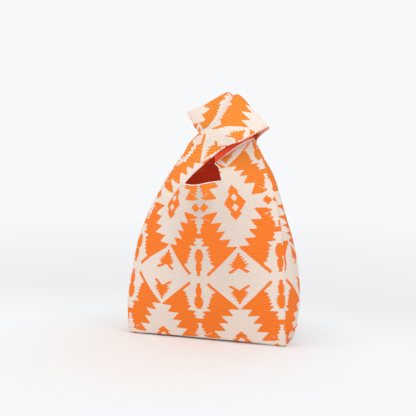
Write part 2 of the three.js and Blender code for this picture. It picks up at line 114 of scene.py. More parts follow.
def depth(outline, x, y):
    """Distance to the nearest side of the outline, positive inside and negative outside. A point is inside
    where a line to its right crosses the outline an odd number of times."""
    xs, ys = np.array(outline, float).T
    odd = np.zeros(np.shape(x), bool)
    nearest = np.full(np.shape(x), np.inf)
    for x0, y0, x1, y1 in zip(xs, ys, np.roll(xs, -1), np.roll(ys, -1)):
        dx, dy = x1 - x0, y1 - y0
        along = (((x - x0) * dx + (y - y0) * dy) / (dx * dx + dy * dy)).clip(0, 1)
        nearest = np.minimum(nearest, np.hypot(x - x0 - along * dx, y - y0 - along * dy))
        odd ^= ((y0 > y) != (y1 > y)) & (x < x0 + (y - y0) * dx / (dy if dy else 1))
    return np.where(odd, nearest, -nearest)


def lozenge(x, y, half_x, half_y):
    """Depth inside a lozenge: one less the two shares of its half axes, times its inner radius."""
    return (1 - np.abs(x) / half_x - np.abs(y) / half_y) * half_x * half_y / math.hypot(half_x, half_y)


def chart(u, v):
    """Depth of cloth place (u, v) in the orange: fold to one quarter, then take the greatest depth of all
    motifs. The slit and the eyes are cut out, as the least of one depth and the other's negative."""
    d = np.abs((u + SPINE / 2) % SPINE - SPINE / 2)
    r = np.abs((v + ROW) % (2 * ROW) - ROW)
    e, g = SPINE / 2 - d, ROW - r
    motifs = [
        np.minimum(depth(TREE, d, r), -depth(SLIT, d, r)),
        depth(SPINDLE, d, r),
        depth(SAPLING, e, r),
        lozenge(d - PIP[0], g, *PIP),
        np.minimum(depth(DIAMOND, e, g), -lozenge(e, g - EYE_AT, *EYE)),
    ]
    return np.max(motifs, axis=0)


sample = chart(*np.meshgrid(np.arange(0, SPINE), np.arange(0, 2 * ROW)))
print("orange share", round(float((sample > 0).mean()), 2))

# %% [markdown]
# ## Rails
# Cloth hangs between lines: the seams, the middle of each face, the hems and the fold over the top. Each is
# a rail, a smooth curve through a few given places. Blender has curve objects for this, but the
# faces between the rails need whole arrays, so the rails are evaluated with numpy.

# %% Rails of the body, as shares of its half width and half depth, from the floor up to the mouth
HALF = np.array([100.0, 22.0])  # half width and half depth of the base
HEIGHT, RISE = 189.0, 8.0  # mouth on the centre line, and how much higher it is at the right seam
LEFT = HALF * np.array(
    [[-1.02, -0.91], [-1.035, -0.86], [-1.005, -0.59], [-0.945, -0.27], [-0.815, 0.14], [-0.62, 0.27]])
RIGHT = HALF * np.array(
    [[0.99, -1], [0.997, -1.18], [0.986, -1.23], [0.965, -1.2], [0.895, -1.05], [0.78, -0.86]])
FRONT = HALF * np.array(
    [[-0.06, -1], [-0.06, -1.36], [-0.05, -1.55], [-0.04, -1.64], [-0.04, -1.64], [-0.05, -1.55]])
BACK_RIGHT = HALF * np.array(
    [[0.965, 0.82], [1.005, 1.27], [0.99, 1.34], [0.92, 1.2], [0.8, 1], [0.69, 0.73]])
BACK_LEFT = HALF * np.array(
    [[-0.965, 0.91], [-1, 1.23], [-0.98, 1.32], [-0.91, 1.27], [-0.78, 1.14], [-0.58, 0.91]])
BACK = HALF * np.array([[0, 1], [0, 1.41], [0, 1.55], [0, 1.55], [0, 1.41], [0, 1.14]])
SWELL = 3.0  # outward swell of each side


def spline(points, t):
    """Catmull-Rom curve: a cubic between neighbours, whose slope at each place is half the step across it."""
    p = np.asarray(points, float)
    last = len(p) - 1
    x = np.clip(np.asarray(t, float), 0, 1) * last
    i = np.minimum(x.astype(int), last - 1)
    f = (x - i).reshape(x.shape + (1,) * (p.ndim - 1))
    padded = np.concatenate([[2 * p[0] - p[1]], p, [2 * p[-1] - p[-2]]])
    a, b, c, d = padded[i], padded[i + 1], padded[i + 2], padded[i + 3]
    return b + 0.5 * f * (c - a + f * (2 * a - 5 * b + 4 * c - d + f * (3 * (b - c) + d - a)))


def parabola(a, b, c, w):
    """Parabola through a at w = -1, b at w = 0 and c at w = 1."""
    return b + w * (c - a) / 2 + w * w * ((a + c) / 2 - b)


print("base", 2 * HALF, "mm, mouth at", HEIGHT, "mm")

# %% [markdown]
# ## The body as one loop of stitches
# The body is treated as knitted round, so its cloth is one loop of columns: half the left side, the front,
# the right side, the back and the other half of the left side. Across each face w runs from -1 to 1. Every
# column keeps its place u round the cloth, and every stitch its row v, so the motifs run on round the
# corners. Four separate panels would be easier to shape, but the pattern would break between them.

# %% Columns and rows
SIDE_CLOTH, BACK_CLOTH = 48.0, 193.0  # cloth across each side and across the back
FOLD = 105.5  # cloth from the centre spine to the fold at each side
SPREAD = 0.055  # how much more cloth the front takes towards its edges

side_w = np.linspace(-1, 1, 40, endpoint=False)
face_w = np.linspace(-1, 1, 176, endpoint=False)
half_side = len(side_w) // 2
parts = [("left", side_w[half_side:]), ("front", face_w), ("right", side_w), ("back", face_w),
         ("left", side_w[:half_side])]
part = np.concatenate([[name] * len(w) for name, w in parts])
w = np.concatenate([w for name, w in parts])
h = np.linspace(0, 1, 142)
is_front, is_back, is_left, is_right = (part == name for name in ("front", "back", "left", "right"))
u = np.select(
    [is_front, is_right, is_back],
    [HALF[0] * w * (1 + SPREAD * w * w),
     FOLD + SIDE_CLOTH * (w + 1) / 2,
     FOLD + SIDE_CLOTH + BACK_CLOTH * (w + 1) / 2],
    -FOLD - SIDE_CLOTH * (1 - w) / 2,
)
print("columns", len(w), "rows", len(h))

# %% [markdown]
# ## Faces between the seams
# Seen from above, each face bulges between its two seams. A parabola through three rails is the simplest
# curve that does this, and it keeps the photographed outline, which an inflated cloth would lose.

# %% Faces of the body
SIDES = {
    "front": (LEFT, FRONT, RIGHT, 0),
    "right": (RIGHT, None, BACK_RIGHT, SWELL),
    "back": (BACK_RIGHT, BACK, BACK_LEFT, 0),
    "left": (BACK_LEFT, None, LEFT, -SWELL),
}


def wall(name, w, h):
    """Face between two seam rails: at each height a parabola across, through the two seams and the middle
    rail. A side has no middle rail, and swells from the mean of its seams."""
    a, b, c, out = SIDES[name]
    a, c = spline(a, h)[:, None], spline(c, h)[:, None]
    b = spline(b, h)[:, None] if b is not None else (a + c) / 2 + np.array([out, 0])
    return parabola(a, b, c, w[None, :, None])


body = np.zeros((len(h), len(w), 3))
for name in SIDES:
    body[:, part == name, :2] = wall(name, w[part == name], h)
print("widest", round(float(np.ptp(body[..., 0]))), "mm, deepest", round(float(np.ptp(body[..., 1]))), "mm")

# %% [markdown]
# ## Mouth and floor line
# The mouth hangs in front and stands up behind, and the soft foot lifts off the floor in two places. Pulling
# single points by hand would leave dents, so smooth steps and Gaussian hills shape such local changes. The
# corners are rounded by a running mean.

# %% Heights of the body
MOUTH_SAG, BACK_RISE = 3.6, 9.5  # how far the mouth hangs in front and stands up behind
SAG_AT, RISE_AT = (-0.16, 0.3), (0.22, 0.42)  # middle and reach of each, across the face
CORNER_LIFT, FRONT_LIFT = 3.5, 2.6  # how far the foot's left corner and front middle stand off the floor
FOOT_FADE = 14  # power of the height that keeps both lifts close to the floor
CORNER_ROUND = 2.0  # in stitches


def ease(t):
    """Smooth step from 0 to 1: three squares less two cubes."""
    t = np.clip(t, 0, 1)
    return t * t * (3 - 2 * t)


def hill(x, at, reach):
    """Gaussian hill, 1 at its place: e to the power of minus the square of the distance over the reach."""
    return np.exp(-(((x - at) / reach) ** 2))


def soften(points, axis, width, closed=False):
    """Running Gaussian mean along one axis. An open end is carried on as its own mirror turned half round."""
    reach = int(math.ceil(3 * width))
    taps = np.exp(-0.5 * (np.arange(-reach, reach + 1) / width) ** 2)
    taps /= taps.sum()
    p = np.moveaxis(points, axis, 0)
    if closed:
        padded = np.concatenate([p[-reach:], p, p[:reach]])
    else:
        padded = np.concatenate([2 * p[:1] - p[reach:0:-1], p, 2 * p[-1:] - p[-2:-reach - 2:-1]])
    mean = sum(k * padded[i:i + len(p)] for i, k in enumerate(taps))
    return np.moveaxis(mean, 0, axis)


to_right = np.select([is_front, is_back, is_right], [w, -w, 1.0], -1.0)
mouth_height = HEIGHT + RISE * np.maximum(0, to_right) + BACK_RISE * is_back * hill(w, *RISE_AT)
sag = is_front * hill(w, *SAG_AT) * MOUTH_SAG
body[..., 2] = h[:, None] * mouth_height - sag * ease((h[:, None] - 0.8) / 0.2)
at_corner = np.select([is_front, is_left], [(-0.88 - w) / 0.12, (w - 0.5) / 0.5], 0.0).clip(0)
off_floor = CORNER_LIFT * at_corner**2 + FRONT_LIFT * is_front * (1 - w**4)
body[..., 2] += off_floor * (1 - h[:, None]) ** FOOT_FADE
body = soften(body, 1, CORNER_ROUND, closed=True)
print("mouth from", round(float(body[-1, :, 2].min())), "to", round(float(body[-1, :, 2].max())), "mm")

# %% [markdown]
# ## Rows of the chart
# On the real bag the rows sag in the middle of the front, where the cloth is stretched. Each column gets the
# height of its star row and the rows to each millimetre above and below it, read off at five stations. A
# pattern projected from the front would run level, and would smear on the sides.

# %% Rows of the body
STATIONS = [-1, -0.5, 0, 0.5, 1]  # across the front
STAR_HEIGHT = [84, 77, 75, 78, 86]
ROWS_ABOVE = [1.03, 1.03, 1.054, 0.983, 1.025]
ROWS_BELOW = [0.985, 1.08, 1.07, 1.095, 0.985]

faces = [is_front, is_right, is_back]
star_height = np.select(faces, [np.interp(w, STATIONS, STAR_HEIGHT), 86.0, 85 - w], 84.0)
rows_above = np.select(faces, [np.interp(w, STATIONS, ROWS_ABOVE), 1.025, 1.03], 1.03)
rows_below = np.select([is_front], [np.interp(w, STATIONS, ROWS_BELOW)], 0.985)
above = body[..., 2] - star_height
v = above * np.where(above > 0, rows_above, rows_below)
print("rows from", round(float(v.min())), "to", round(float(v.max())), "mm of cloth")

# %% [markdown]
# ## Folds that hide cloth
# A slanting pleat runs down to the left from the mouth, and the right side is tucked in behind the front.
# Cloth that is folded on itself could be modelled in layers, but only its pattern and a groove show, so the
# places u jump by the cloth that each fold hides.

# %% Drawn, turned, pleated and tucked cloth
DRAWN = [  # how far the cloth is drawn to the right, then the middle and reach across and along the rows
    (7, -0.45, 0.22, 35, 32), (8, -0.45, 0.15, 113, 14), (3, 0.35, 0.4, 92, 22), (6.5, -0.68, 0.2, 106, 13)]
TURNED, TURNED_FROM, TURNED_OVER = -5.0, 62, 28  # from this row up, the left spine lies on the fold
PLEAT_ROW = [60, 75, 88.5, 100, 110, 114]
PLEAT_W = [-0.7, -0.66, -0.58, -0.5, -0.43, -0.34]
PLEAT_CLOTH = [0, 6, 13, 16.5, 17, 20]
PLEAT_RISE, RISE_FROM, RISE_OVER = 5.0, 88, 20  # from this row up, the pleat lifts the cloth beside it
TUCK_ROW = [-70, -66, -50, -25, -8, 0, 10, 20, 40, 49, 57, 69, 81, 100, 130, 180]
TUCK_CLOTH = [-4, 5, 4.5, 4, 3.5, 4, 7, 19, 35, 47, 55, 62, 68, 74, 80, 84]


def patch(w_at, w_reach, v_at, v_reach):
    """Round patch of the front, 1 in its middle and fading outward as a Gaussian."""
    return is_front * np.exp(-(((w - w_at) / w_reach) ** 2) - ((v - v_at) / v_reach) ** 2)


body_u = u
for far, *where in DRAWN:
    body_u = body_u - far * patch(*where)
near_fold = np.select([is_front, is_left], [((-0.6 - w) / 0.4).clip(0), (1 + w) / 2], 0.0)
body_u = body_u - TURNED * ease((v - TURNED_FROM) / TURNED_OVER) * near_fold
pleat_w = np.interp(v, PLEAT_ROW, PLEAT_W)
pleat_cloth = np.interp(v, PLEAT_ROW, PLEAT_CLOTH)
beside = is_front & (w < pleat_w)
body_u = body_u - np.where(beside, pleat_cloth * ((w + 1) / (pleat_w + 1)) ** 2, 0)
v = v - PLEAT_RISE * beside * ease((v - RISE_FROM) / RISE_OVER)
tucked = np.interp(v, TUCK_ROW, TUCK_CLOTH)
body_u = body_u + tucked * np.select([is_right, is_back], [1 - (w + 1) / 6, (1 - w) / 3], 0.0)
print("the pleat hides up to", max(PLEAT_CLOTH), "mm, the tuck up to", round(float(tucked.max())), "mm")

# %% [markdown]
# ## Softening the foot
# At the floor the cloth turns under with a small radius. Under each side the corner of the bag is boxed: it
# is folded in and sewn across, so the side steps in below that seam. Moving the stitches inward, along the
# outline's own normal, makes the round, the step and the two grooves in one go.

# %% Foot and boxed corners
FOOT_ROUND = 3.5
FOOT_CLOTH, FOOT_REACH = 3.2, 15.0  # cloth that the round takes up, and the height over which it does
TUCK_DEPTH, PLEAT_DEPTH, PLEAT_REACH = 3.0, 1.5, 0.025  # grooves behind the right fold and along the pleat
BOX_SHIFT = 31.0  # the boxed corner shows another row of the chart
BOX_HEIGHT, BOX_DEPTH = 17.0, 4.0

tangent = np.roll(body, -1, axis=1) - np.roll(body, 1, axis=1)
outward = np.stack([tangent[..., 1], -tangent[..., 0]], -1)
outward /= np.linalg.norm(outward, axis=-1, keepdims=True)
z = body[..., 2]
inset = FOOT_ROUND - np.sqrt(np.maximum(0, FOOT_ROUND**2 - np.maximum(0, FOOT_ROUND - z) ** 2))
boxed = (is_left | is_right) * (1 - w**6)
inset = inset + BOX_DEPTH * boxed * ease((BOX_HEIGHT + 2 - z) / 5)
groove = is_right * np.sin(math.pi * ((w + 1) / 0.5).clip(0, 1)) * ease((z - 60) / 60)
inset = inset + TUCK_DEPTH * groove
pleated = is_front * hill(w, pleat_w, PLEAT_REACH) * pleat_cloth / max(PLEAT_CLOTH)
inset = inset + PLEAT_DEPTH * pleated
body[..., :2] -= outward * inset[..., None]
v = v - BOX_SHIFT * (is_left | is_right) * (z < BOX_HEIGHT) - FOOT_CLOTH * is_front * ease(1 - z / FOOT_REACH)
print("deepest inset", round(float(inset.max()), 1), "mm")

# %% [markdown]
# ## The short band
# The handles are the same knit, carried on upward from part of the loop. q runs across the short band from
# its rear hem (-1) through its spine (0) to its front hem (1). Where the band leaves the body, its first
# rows are pulled on to the body's last row, so the cloth runs through without the step that a separate strip
# would show.

# %% Columns and rails of the short band, from the mouth up to the ridge
MOUTH = np.array([0.0, 0.0, HEIGHT])
MOUTH_FRONT, MOUTH_BACK_LEFT = 0.35, 0.6  # share of the half front and half back that the mouth takes
SHORT_ROWS = np.linspace(0, 1, 126)[1:]
JOIN = 0.22  # share of the band over which it takes up the body's shape
SHORT_SPINE = MOUTH + [[-50, 5, 14], [-31, -1, 28], [-17, -9, 45], [-5, -17, 59], [12, -21, 71],
                       [27, -10, 99]]
SHORT_HEM = MOUTH + [[-14.5, -25, 10.5], [8, -29, 28.4], [22, -33, 38.8], [36, -38, 46.2],
                     [51, -40, 50.8], [80, -31, 65.5]]
SHORT_REAR = MOUTH + [[-49, 17, 14], [-33, 13, 28], [-21, 7, 43], [-13, -4, 54], [-6, -9, 66], [-5, -1, 88]]
SHORT_REAR_HEM = MOUTH + [[-33, 19, 14], [-24, 17, 28], [-17, 14, 42], [-19, 10, 52], [-25, 7, 62],
                          [-35.5, 6, 77]]


def take_up(band, start, s):
    """Adds start minus the band's own first row, fading out along the first stretch of the band."""
    fade = 1 - ease(s / JOIN)
    return band[1:] + fade[1:].reshape(-1, *[1] * (band.ndim - 1)) * (start - band[0])


def at_mouth(name, across, height):
    """Place on the upper edge of a face, w across it, at a given height."""
    return np.append(wall(name, np.array([across]), np.array([1.0]))[0, 0], height)


rear_columns = np.where(is_back & (w >= MOUTH_BACK_LEFT) | is_left & (w < 0))[0]
fore_columns = np.where(is_left & (w >= 0) | is_front & (w <= -MOUTH_FRONT))[0]
short_columns = np.concatenate([rear_columns, fore_columns])
ws = w[short_columns]
q = np.select(
    [is_front[short_columns], is_left[short_columns]],
    [(ws + 1) / (1 - MOUTH_FRONT), -0.5 * (1 - ws) / 2],
    -1 + 0.5 * (ws - MOUTH_BACK_LEFT) / (1 - MOUTH_BACK_LEFT),
)
s = np.concatenate([[0], SHORT_ROWS])
spine = spline(np.vstack([at_mouth("front", -1.0, HEIGHT), SHORT_SPINE]), s)[:, None]
hem = spline(np.vstack([at_mouth("front", -MOUTH_FRONT, HEIGHT), SHORT_HEM]), s)[:, None]
rear = spline(np.vstack([at_mouth("back", 1.0, HEIGHT), SHORT_REAR]), s)[:, None]
rear_hem = spline(np.vstack([at_mouth("back", MOUTH_BACK_LEFT, HEIGHT), SHORT_REAR_HEM]), s)[:, None]
spine_length = float(np.linalg.norm(np.diff(spine[:, 0], axis=0), axis=1).sum())
print("short band", len(short_columns), "columns,", round(spine_length), "mm along its spine")

# %% [markdown]
# ## Shape of the short band
# The band is flat between its spine and its front hem, and rounded behind. A valley crease runs along the
# spine, the rear half stands out below the knot, and both halves stand up where they fold over the ridge.
# Sculpting could do this too, but a few numbers along the band are easier to match to the photograph.

# %% Crease, flank and ridge
FRONT_SWELL = 3.0
CREASE_DEPTH = [[0.0], [0], [0.5], [2.5], [3], [3.5], [6], [6]]  # in equal steps along the band
CREASE_WAY, CREASE_REACH = np.array([0.3, 0.45, -0.84]), 0.035
REAR_FLANK = [[0.0], [0.5], [5.4], [7.6], [4], [1], [0.3], [0]]  # how far the rear half stands out
FLANK_WAY, FLANK_AT, FLANK_REACH = np.array([-0.93, 0, 0.36]), -0.14, 0.1
HUMP_AT = [-1, -0.6, -0.3, -0.08, 0, 0.05, 0.17, 0.33, 0.55, 0.8, 1]
HUMP = [3, 4, 6, 7.6, 3.5, 4.5, 8, 7.4, 5, 3.5, 1.5]  # how far the two halves stand up on the ridge

top = body[-1]
fore = spine + q[None, :, None].clip(0, 1) * (hem - spine)
fore[..., 1] -= FRONT_SWELL * 4 * (q * (1 - q)).clip(0)
aft = parabola(spine, rear, rear_hem, (-2 * q - 1)[None, :, None])
short = np.where(q[None, :, None] >= 0, fore, aft)
hump = np.interp(q, HUMP_AT, HUMP)
short[..., 2] += hump * ease((s[:, None] - 0.78) / 0.22)
dent = spline(CREASE_DEPTH, s) * hill(q, 0, CREASE_REACH)
short = short + dent[..., None] * CREASE_WAY
flank = spline(REAR_FLANK, s / 1.05) * hill(q, FLANK_AT, FLANK_REACH)
short = short + flank[..., None] * FLANK_WAY
short = take_up(short, top[short_columns], s)
print("ridge up to", round(float(short[-1, :, 2].max())), "mm")

# %% [markdown]
# ## Pattern of the short band
# The crease takes in cloth on both sides of the spine, and some lies in small folds on the rear half. So
# the places u start beside the hidden cloth, and the rows v run on from those of the body.

# %% Cloth places of the short band
WAY_ROUND = 5 * SPINE  # from the left side back to itself, so that u can run on round the bag
SHORT_V = [[110.0], [124], [147], [160], [174.5], [195.5], [238]]  # rows along the front hem
CREASE_V = [[110.0], [124], [147], [160], [174.5], [193], [229]]  # along the spine
REAR_V = [[110.0], [124], [147], [165], [188], [212], [237]]  # along the rear hem
HEM_AT = [0, 0.25, 0.45, 0.67, 0.9, 0.97, 1]
HEM_CLOTH = [40, 62, 60, 60, 60, 57, 55.5]  # cloth from the spine to either hem
CREASE_AT = [0, 0.26, 0.31, 0.45, 0.52, 0.6, 0.77, 0.855, 0.905, 0.955, 1]
CREASE_CLOTH = [0, 0, 6.5, 11.5, 10.5, 6, 5, 11.5, 7, 1.5, 1.2]  # that the crease takes in, front half
REAR_CLOTH = [0, 0, 8, 12.5, 12, 9.5, 6, 11.5, 7, 1.5, 1.2]  # and rear half
PACKED_AT, PACKED = [0.22, 0.32, 0.46, 0.58], 9.0  # cloth in small folds on the rear half

fore_cloth, aft_cloth = (np.interp(s, CREASE_AT, hidden)[:, None] for hidden in (CREASE_CLOTH, REAR_CLOTH))
taken = np.where(q >= 0, fore_cloth, aft_cloth)
hem_cloth = np.interp(s, HEM_AT, HEM_CLOTH)[:, None]
even_u = -SPINE + np.where(q >= 0, taken, -taken) + q * (hem_cloth - taken)
packed = np.interp(s, PACKED_AT, [0, PACKED, PACKED, 0])[:, None]
even_u = even_u - packed * (1 - np.exp(q.clip(-1, 0) / 0.08))
own_u = np.where(is_back, body_u[-1] - WAY_ROUND, body_u[-1])[short_columns]
short_u = own_u + ease(s / 0.36)[:, None] * (even_u - own_u)
short_v = spline(CREASE_V, s)
to_hem, to_rear = ease(q / 0.5), ease(-q / 0.6)
short_v = short_v + to_hem * (spline(SHORT_V, s) - short_v) + to_rear * (spline(REAR_V, s) - short_v)
short_v = take_up(short_v, v[-1][short_columns], s)
print("rows of the short band up to", round(float(short_v.max())), "mm of cloth")

# %% [markdown]
# ## Over the ridge
# Behind the ridge the band goes down again and ends on the back of the bag. It hangs between the ridge and
# its foot, stands out in a bow over the long handle, and its edge at the tip follows a rail of its own. A
# cloth simulation could drape it, but would lose the outline that the photograph shows.

# %% Short band behind the ridge
RIDGE_BACK = MOUTH + [[-35.5, 8, 77], [-5, 1, 88], [27, -8, 99], [54, -17, 83], [79, -29, 65]]
BACK_EDGE = MOUTH + [[79, -29, 65], [52, 8, 49.5], [47, 21, 37], [40, 27, 20], [38, 26, 7]]
SHORT_FOOT = MOUTH + [[-14, 28, 6], [-1, 29, 6], [12, 29, 6], [25, 28, 6.5], [38, 26, 7]]
BEHIND_ROWS = np.linspace(0, 1, 50)
BEHIND_V, BACK_SWELL = 80.0, 22.0  # cloth behind the ridge, and how far it stands out
BAND_ROUND = 1.5  # in stitches

a = (q + 1) / 2
b = BEHIND_ROWS[:, None]
behind = spline(RIDGE_BACK, a)[None] * (1 - b[..., None]) + spline(SHORT_FOOT, a)[None] * b[..., None]
behind[..., 1] += BACK_SWELL * (1 - (2 * b - 1) ** 4)
behind[..., 2] += hump * (1 - b) ** 3
beside_tip = (2 * a - 1).clip(0) ** 2
behind += beside_tip[None, :, None] * (spline(BACK_EDGE, BEHIND_ROWS)[:, None] - behind[:, -1:])
behind_v = short_v[-1] + BEHIND_V * b
short = np.concatenate([short, behind])
short_v = np.concatenate([short_v, behind_v])
short_u = np.concatenate([short_u[1:], np.repeat(short_u[-1:], len(BEHIND_ROWS), axis=0)])
short = soften(short, 1, BAND_ROUND)
print("short band", short.shape[:2], "stitches")

# %% [markdown]
# ## The long band
# The long handle rises from the right of the mouth and leans in under the short one. It is made as the short
# band is, from its own rails: the seam, the fold beside the mouth, the corner behind and the rear hem.

# %% Long band: up beside the right seam, under the roof
MOUTH_RIGHT, MOUTH_BACK_RIGHT = 0.385, 0.55
LONG_ROWS = np.linspace(0, 1, 56)
LONG_SEAM = MOUTH + [[70.4, -16, 20.5], [63, -14, 36], [56, -11, 49], [46, -7, 58]]
LONG_FOLD = MOUTH + [[14.3, -24, 22], [17, -21, 33], [27, -18, 43], [38, -14, 52]]
LONG_CORNER = MOUTH + [[62, 12, 20], [55, 10, 33], [49, 7, 45], [42, 3, 54]]
LONG_REAR_HEM = MOUTH + [[40, 19, 19], [38, 16, 30], [37, 12, 41], [36, 8, 50]]
LONG_V = [[114.0], [129], [148.5], [169], [183]]  # rows along the seam
LONG_FOLD_V = [[116.0], [148], [172], [190], [205]]  # and along the fold
TOP_RIGHT = HEIGHT + RISE

long_columns = np.where(is_front & (w >= MOUTH_RIGHT) | is_right | is_back & (w <= -MOUTH_BACK_RIGHT))[0]
wl = w[long_columns]
q_long = np.select(
    [is_front[long_columns], is_right[long_columns]],
    [-(1 - wl) / (1 - MOUTH_RIGHT), 0.5 * (wl + 1) / 2],
    0.5 + 0.5 * (wl + 1) / (1 - MOUTH_BACK_RIGHT),
)
starts = [at_mouth("front", 1.0, TOP_RIGHT), at_mouth("front", MOUTH_RIGHT, HEIGHT + RISE * MOUTH_RIGHT),
          at_mouth("back", -1.0, TOP_RIGHT), at_mouth("back", -MOUTH_BACK_RIGHT, HEIGHT + RISE / 2)]
rails = (LONG_SEAM, LONG_FOLD, LONG_CORNER, LONG_REAR_HEM)
seam, fold, back_corner, long_rear = (
    spline(np.vstack([start, rail]), LONG_ROWS)[:, None] for start, rail in zip(starts, rails))
fore = seam + (-q_long)[None, :, None].clip(0, 1) * (fold - seam)
fore[..., 1] -= FRONT_SWELL * 4 * (-q_long * (1 + q_long)).clip(0)
aft = parabola(seam, back_corner, long_rear, (2 * q_long - 1)[None, :, None])
long_band = np.where(q_long[None, :, None] <= 0, fore, aft)
long_band = take_up(long_band, top[long_columns], LONG_ROWS)
long_band = soften(long_band, 1, BAND_ROUND)
seam_v, fold_v = spline(LONG_V, LONG_ROWS), spline(LONG_FOLD_V, LONG_ROWS)
long_v = take_up(seam_v + (-q_long).clip(0, 1) * (fold_v - seam_v), v[-1][long_columns], LONG_ROWS)
print("long band", long_band.shape[:2], "stitches")

# %% [markdown]
# ## One table of stitches
# Body and handles go into one table, rows by columns, with a mask for the stitches that exist, where three
# meshes would have to be joined along the mouth. Where a handle leaves the body, and where the short band
# folds over the ridge, a running mean along the rows takes the kink out, widely at the first and tightly at
# the second.

# %% Table of the whole cloth
rows = len(h) + len(short)
cloth = np.full((rows, len(w), 3), np.nan)
cloth_v = np.full((rows, len(w)), np.nan)
cloth_u = np.repeat(body_u[-1:], rows, axis=0)
cloth[: len(h)] = body
cloth_v[: len(h)] = v
cloth_u[: len(h)] = body_u
cloth_u[len(h) :, short_columns] = short_u + WAY_ROUND * is_back[short_columns]


def ease_rows(points, row, width, spread):
    """Mixes in the running mean along the rows, most at one row and fading within a spread of rows."""
    mix = np.exp(-0.5 * ((np.arange(len(points)) - row) / spread) ** 2)[:, None, None]
    return points + mix * (soften(points, 0, width) - points)


for columns, band, band_v in ((short_columns, short, short_v), (long_columns, long_band, long_v)):
    whole = np.concatenate([body[:, columns], band])
    whole = ease_rows(whole, len(h) - 1, 6, 8)
    if len(band) == len(short):
        whole = ease_rows(whole, len(h) + len(SHORT_ROWS) - 0.5, 1.4, 4)
    cloth[: len(whole), columns] = whole
    cloth_v[len(h) : len(whole), columns] = band_v
exists = ~np.isnan(cloth_v)
print("stitches", int(exists.sum()))

# %% [markdown]
# ## From table to mesh
# A mesh is a list of points and of faces that name them. Each point holds the chart's depth as an
# attribute, and the material reads it. Solidify gives the cloth its thickness on the inside, with the red
# inner face as its second material. That keeps one table for both faces, where an offset copy would need two.

# %% Table to mesh
KNIT_THICK = 1.8
CLIPPED = 2.0  # depths beyond this make no difference to the yarn
MERGED = 0.02  # points this close are one


def grid_mesh(name, points, cloth_uv, materials, thick=0.0, keep=None, yarn=None, weld=False):
    """Faces of a table of points, four neighbours each, wherever all four exist. u and v go into the UV map
    in millimetres, and the chart's depth at each point into the attribute "orange". Points that coincide are
    merged where a table is rolled up."""
    keep = np.ones(points.shape[:2], bool) if keep is None else keep
    number = np.cumsum(keep.ravel()).reshape(keep.shape) - 1
    whole = keep[:-1, :-1] & keep[1:, :-1] & keep[:-1, 1:] & keep[1:, 1:]
    faces = np.stack([number[:-1, :-1], number[:-1, 1:], number[1:, 1:], number[1:, :-1]], -1)[whole]
    mesh = bpy.data.meshes.new(name)
    mesh.from_pydata((points[keep] * MM).tolist(), [], faces.tolist())
    layer = mesh.uv_layers.new(name="cloth")
    layer.data.foreach_set("uv", cloth_uv[keep][faces].reshape(-1).astype(np.float32))
    inlay = chart(cloth_uv[..., 0], cloth_uv[..., 1]) if yarn is None else yarn
    depths = mesh.attributes.new("orange", "FLOAT", "POINT")
    depths.data.foreach_set("value", inlay[keep].clip(-CLIPPED, CLIPPED).astype(np.float32))
    mesh.polygons.foreach_set("use_smooth", np.ones(len(faces), bool))
    if weld:
        rolled = bmesh.new()
        rolled.from_mesh(mesh)
        bmesh.ops.remove_doubles(rolled, verts=rolled.verts, dist=MERGED * MM)
        rolled.to_mesh(mesh)
        rolled.free()
    for material in materials:
        mesh.materials.append(material)
    piece = bpy.data.objects.new(name, mesh)
    bpy.context.scene.collection.objects.link(piece)
    if thick:
        solid = piece.modifiers.new("thickness", "SOLIDIFY")
        solid.thickness, solid.offset = thick * MM, -1
        solid.material_offset = solid.material_offset_rim = len(materials) - 1
    return piece


print("cloth", KNIT_THICK, "mm thick")

# %% [markdown]
# ## Materials
# The yarn is cotton: matt, a little fuzzy, hardly shiny. Colours are sRGB hex values, turned to linear by one
# function. Nodes are added by another, which gives back one output, so that a later node can take it as its
# input. Ribs and stitches are drawn from the cloth's own UV map, so they keep their millimetres everywhere.

# %% Colours, nodes and cotton


def linear(code):
    """sRGB hex to linear red, green, blue and alpha 1: a straight line near black, a power of 2.4 above it."""
    srgb = [int(code[i : i + 2], 16) / 255 for i in (1, 3, 5)]
    return [c / 12.92 if c <= 0.04045 else ((c + 0.055) / 1.055) ** 2.4 for c in srgb] + [1]


def node(tree, kind, out, inputs=(), **settings):
    """Adds a node with its settings, fills its inputs from values or from other nodes' sockets, listed in
    order or by key, and gives one of its outputs."""
    made = tree.nodes.new("ShaderNode" + kind)
    for key, value in settings.items():
        setattr(made, key, value)
    for key, value in inputs.items() if isinstance(inputs, dict) else enumerate(inputs):
        if isinstance(value, bpy.types.NodeSocket):
            tree.links.new(value, made.inputs[key])
        else:
            made.inputs[key].default_value = value
    return made.outputs[out]


def cotton(name):
    """New cotton material, with its nodes, its shader and its places on the cloth. Loose fibres scatter light
    every way, so it is rough and mirrors little."""
    material = bpy.data.materials.new(name)
    material.use_nodes = True
    tree = material.node_tree
    shader = tree.nodes["Principled BSDF"]
    shader.inputs["Roughness"].default_value = 0.88
    shader.inputs["Specular IOR Level"].default_value = 0.2
    return material, tree, shader, node(tree, "UVMap", "UV", uv_map="cloth")


print("orange in linear light", [round(c, 2) for c in linear("#EC8F36")])

# %% [markdown]
# ## Jacquard knit
# Orange yarn lies in ribs over a cream ground of small stitches. The chart's depth at each point says which
# yarn is on top, and a fine noise frays the line between the two. Shade is painted into the colour: on the
# body below the handles and across the middle of the front the cream is greyer and the orange deeper, and the
# orange is deeper between the ribs. Below the mouth, beside the spine, the ground opens up and looks greyer.

# %% Yarns and stitches of the knit
RIB = 2.8  # as measured in the photograph, where a rib is about 2.5 pixels
COURSE, WALE = 1.4, 1.4  # a ground stitch: a guess, too fine to show from here, so it is in the relief only
ONE_BAND = 2 * math.pi / 20  # scale of a wave texture that has one band to the millimetre

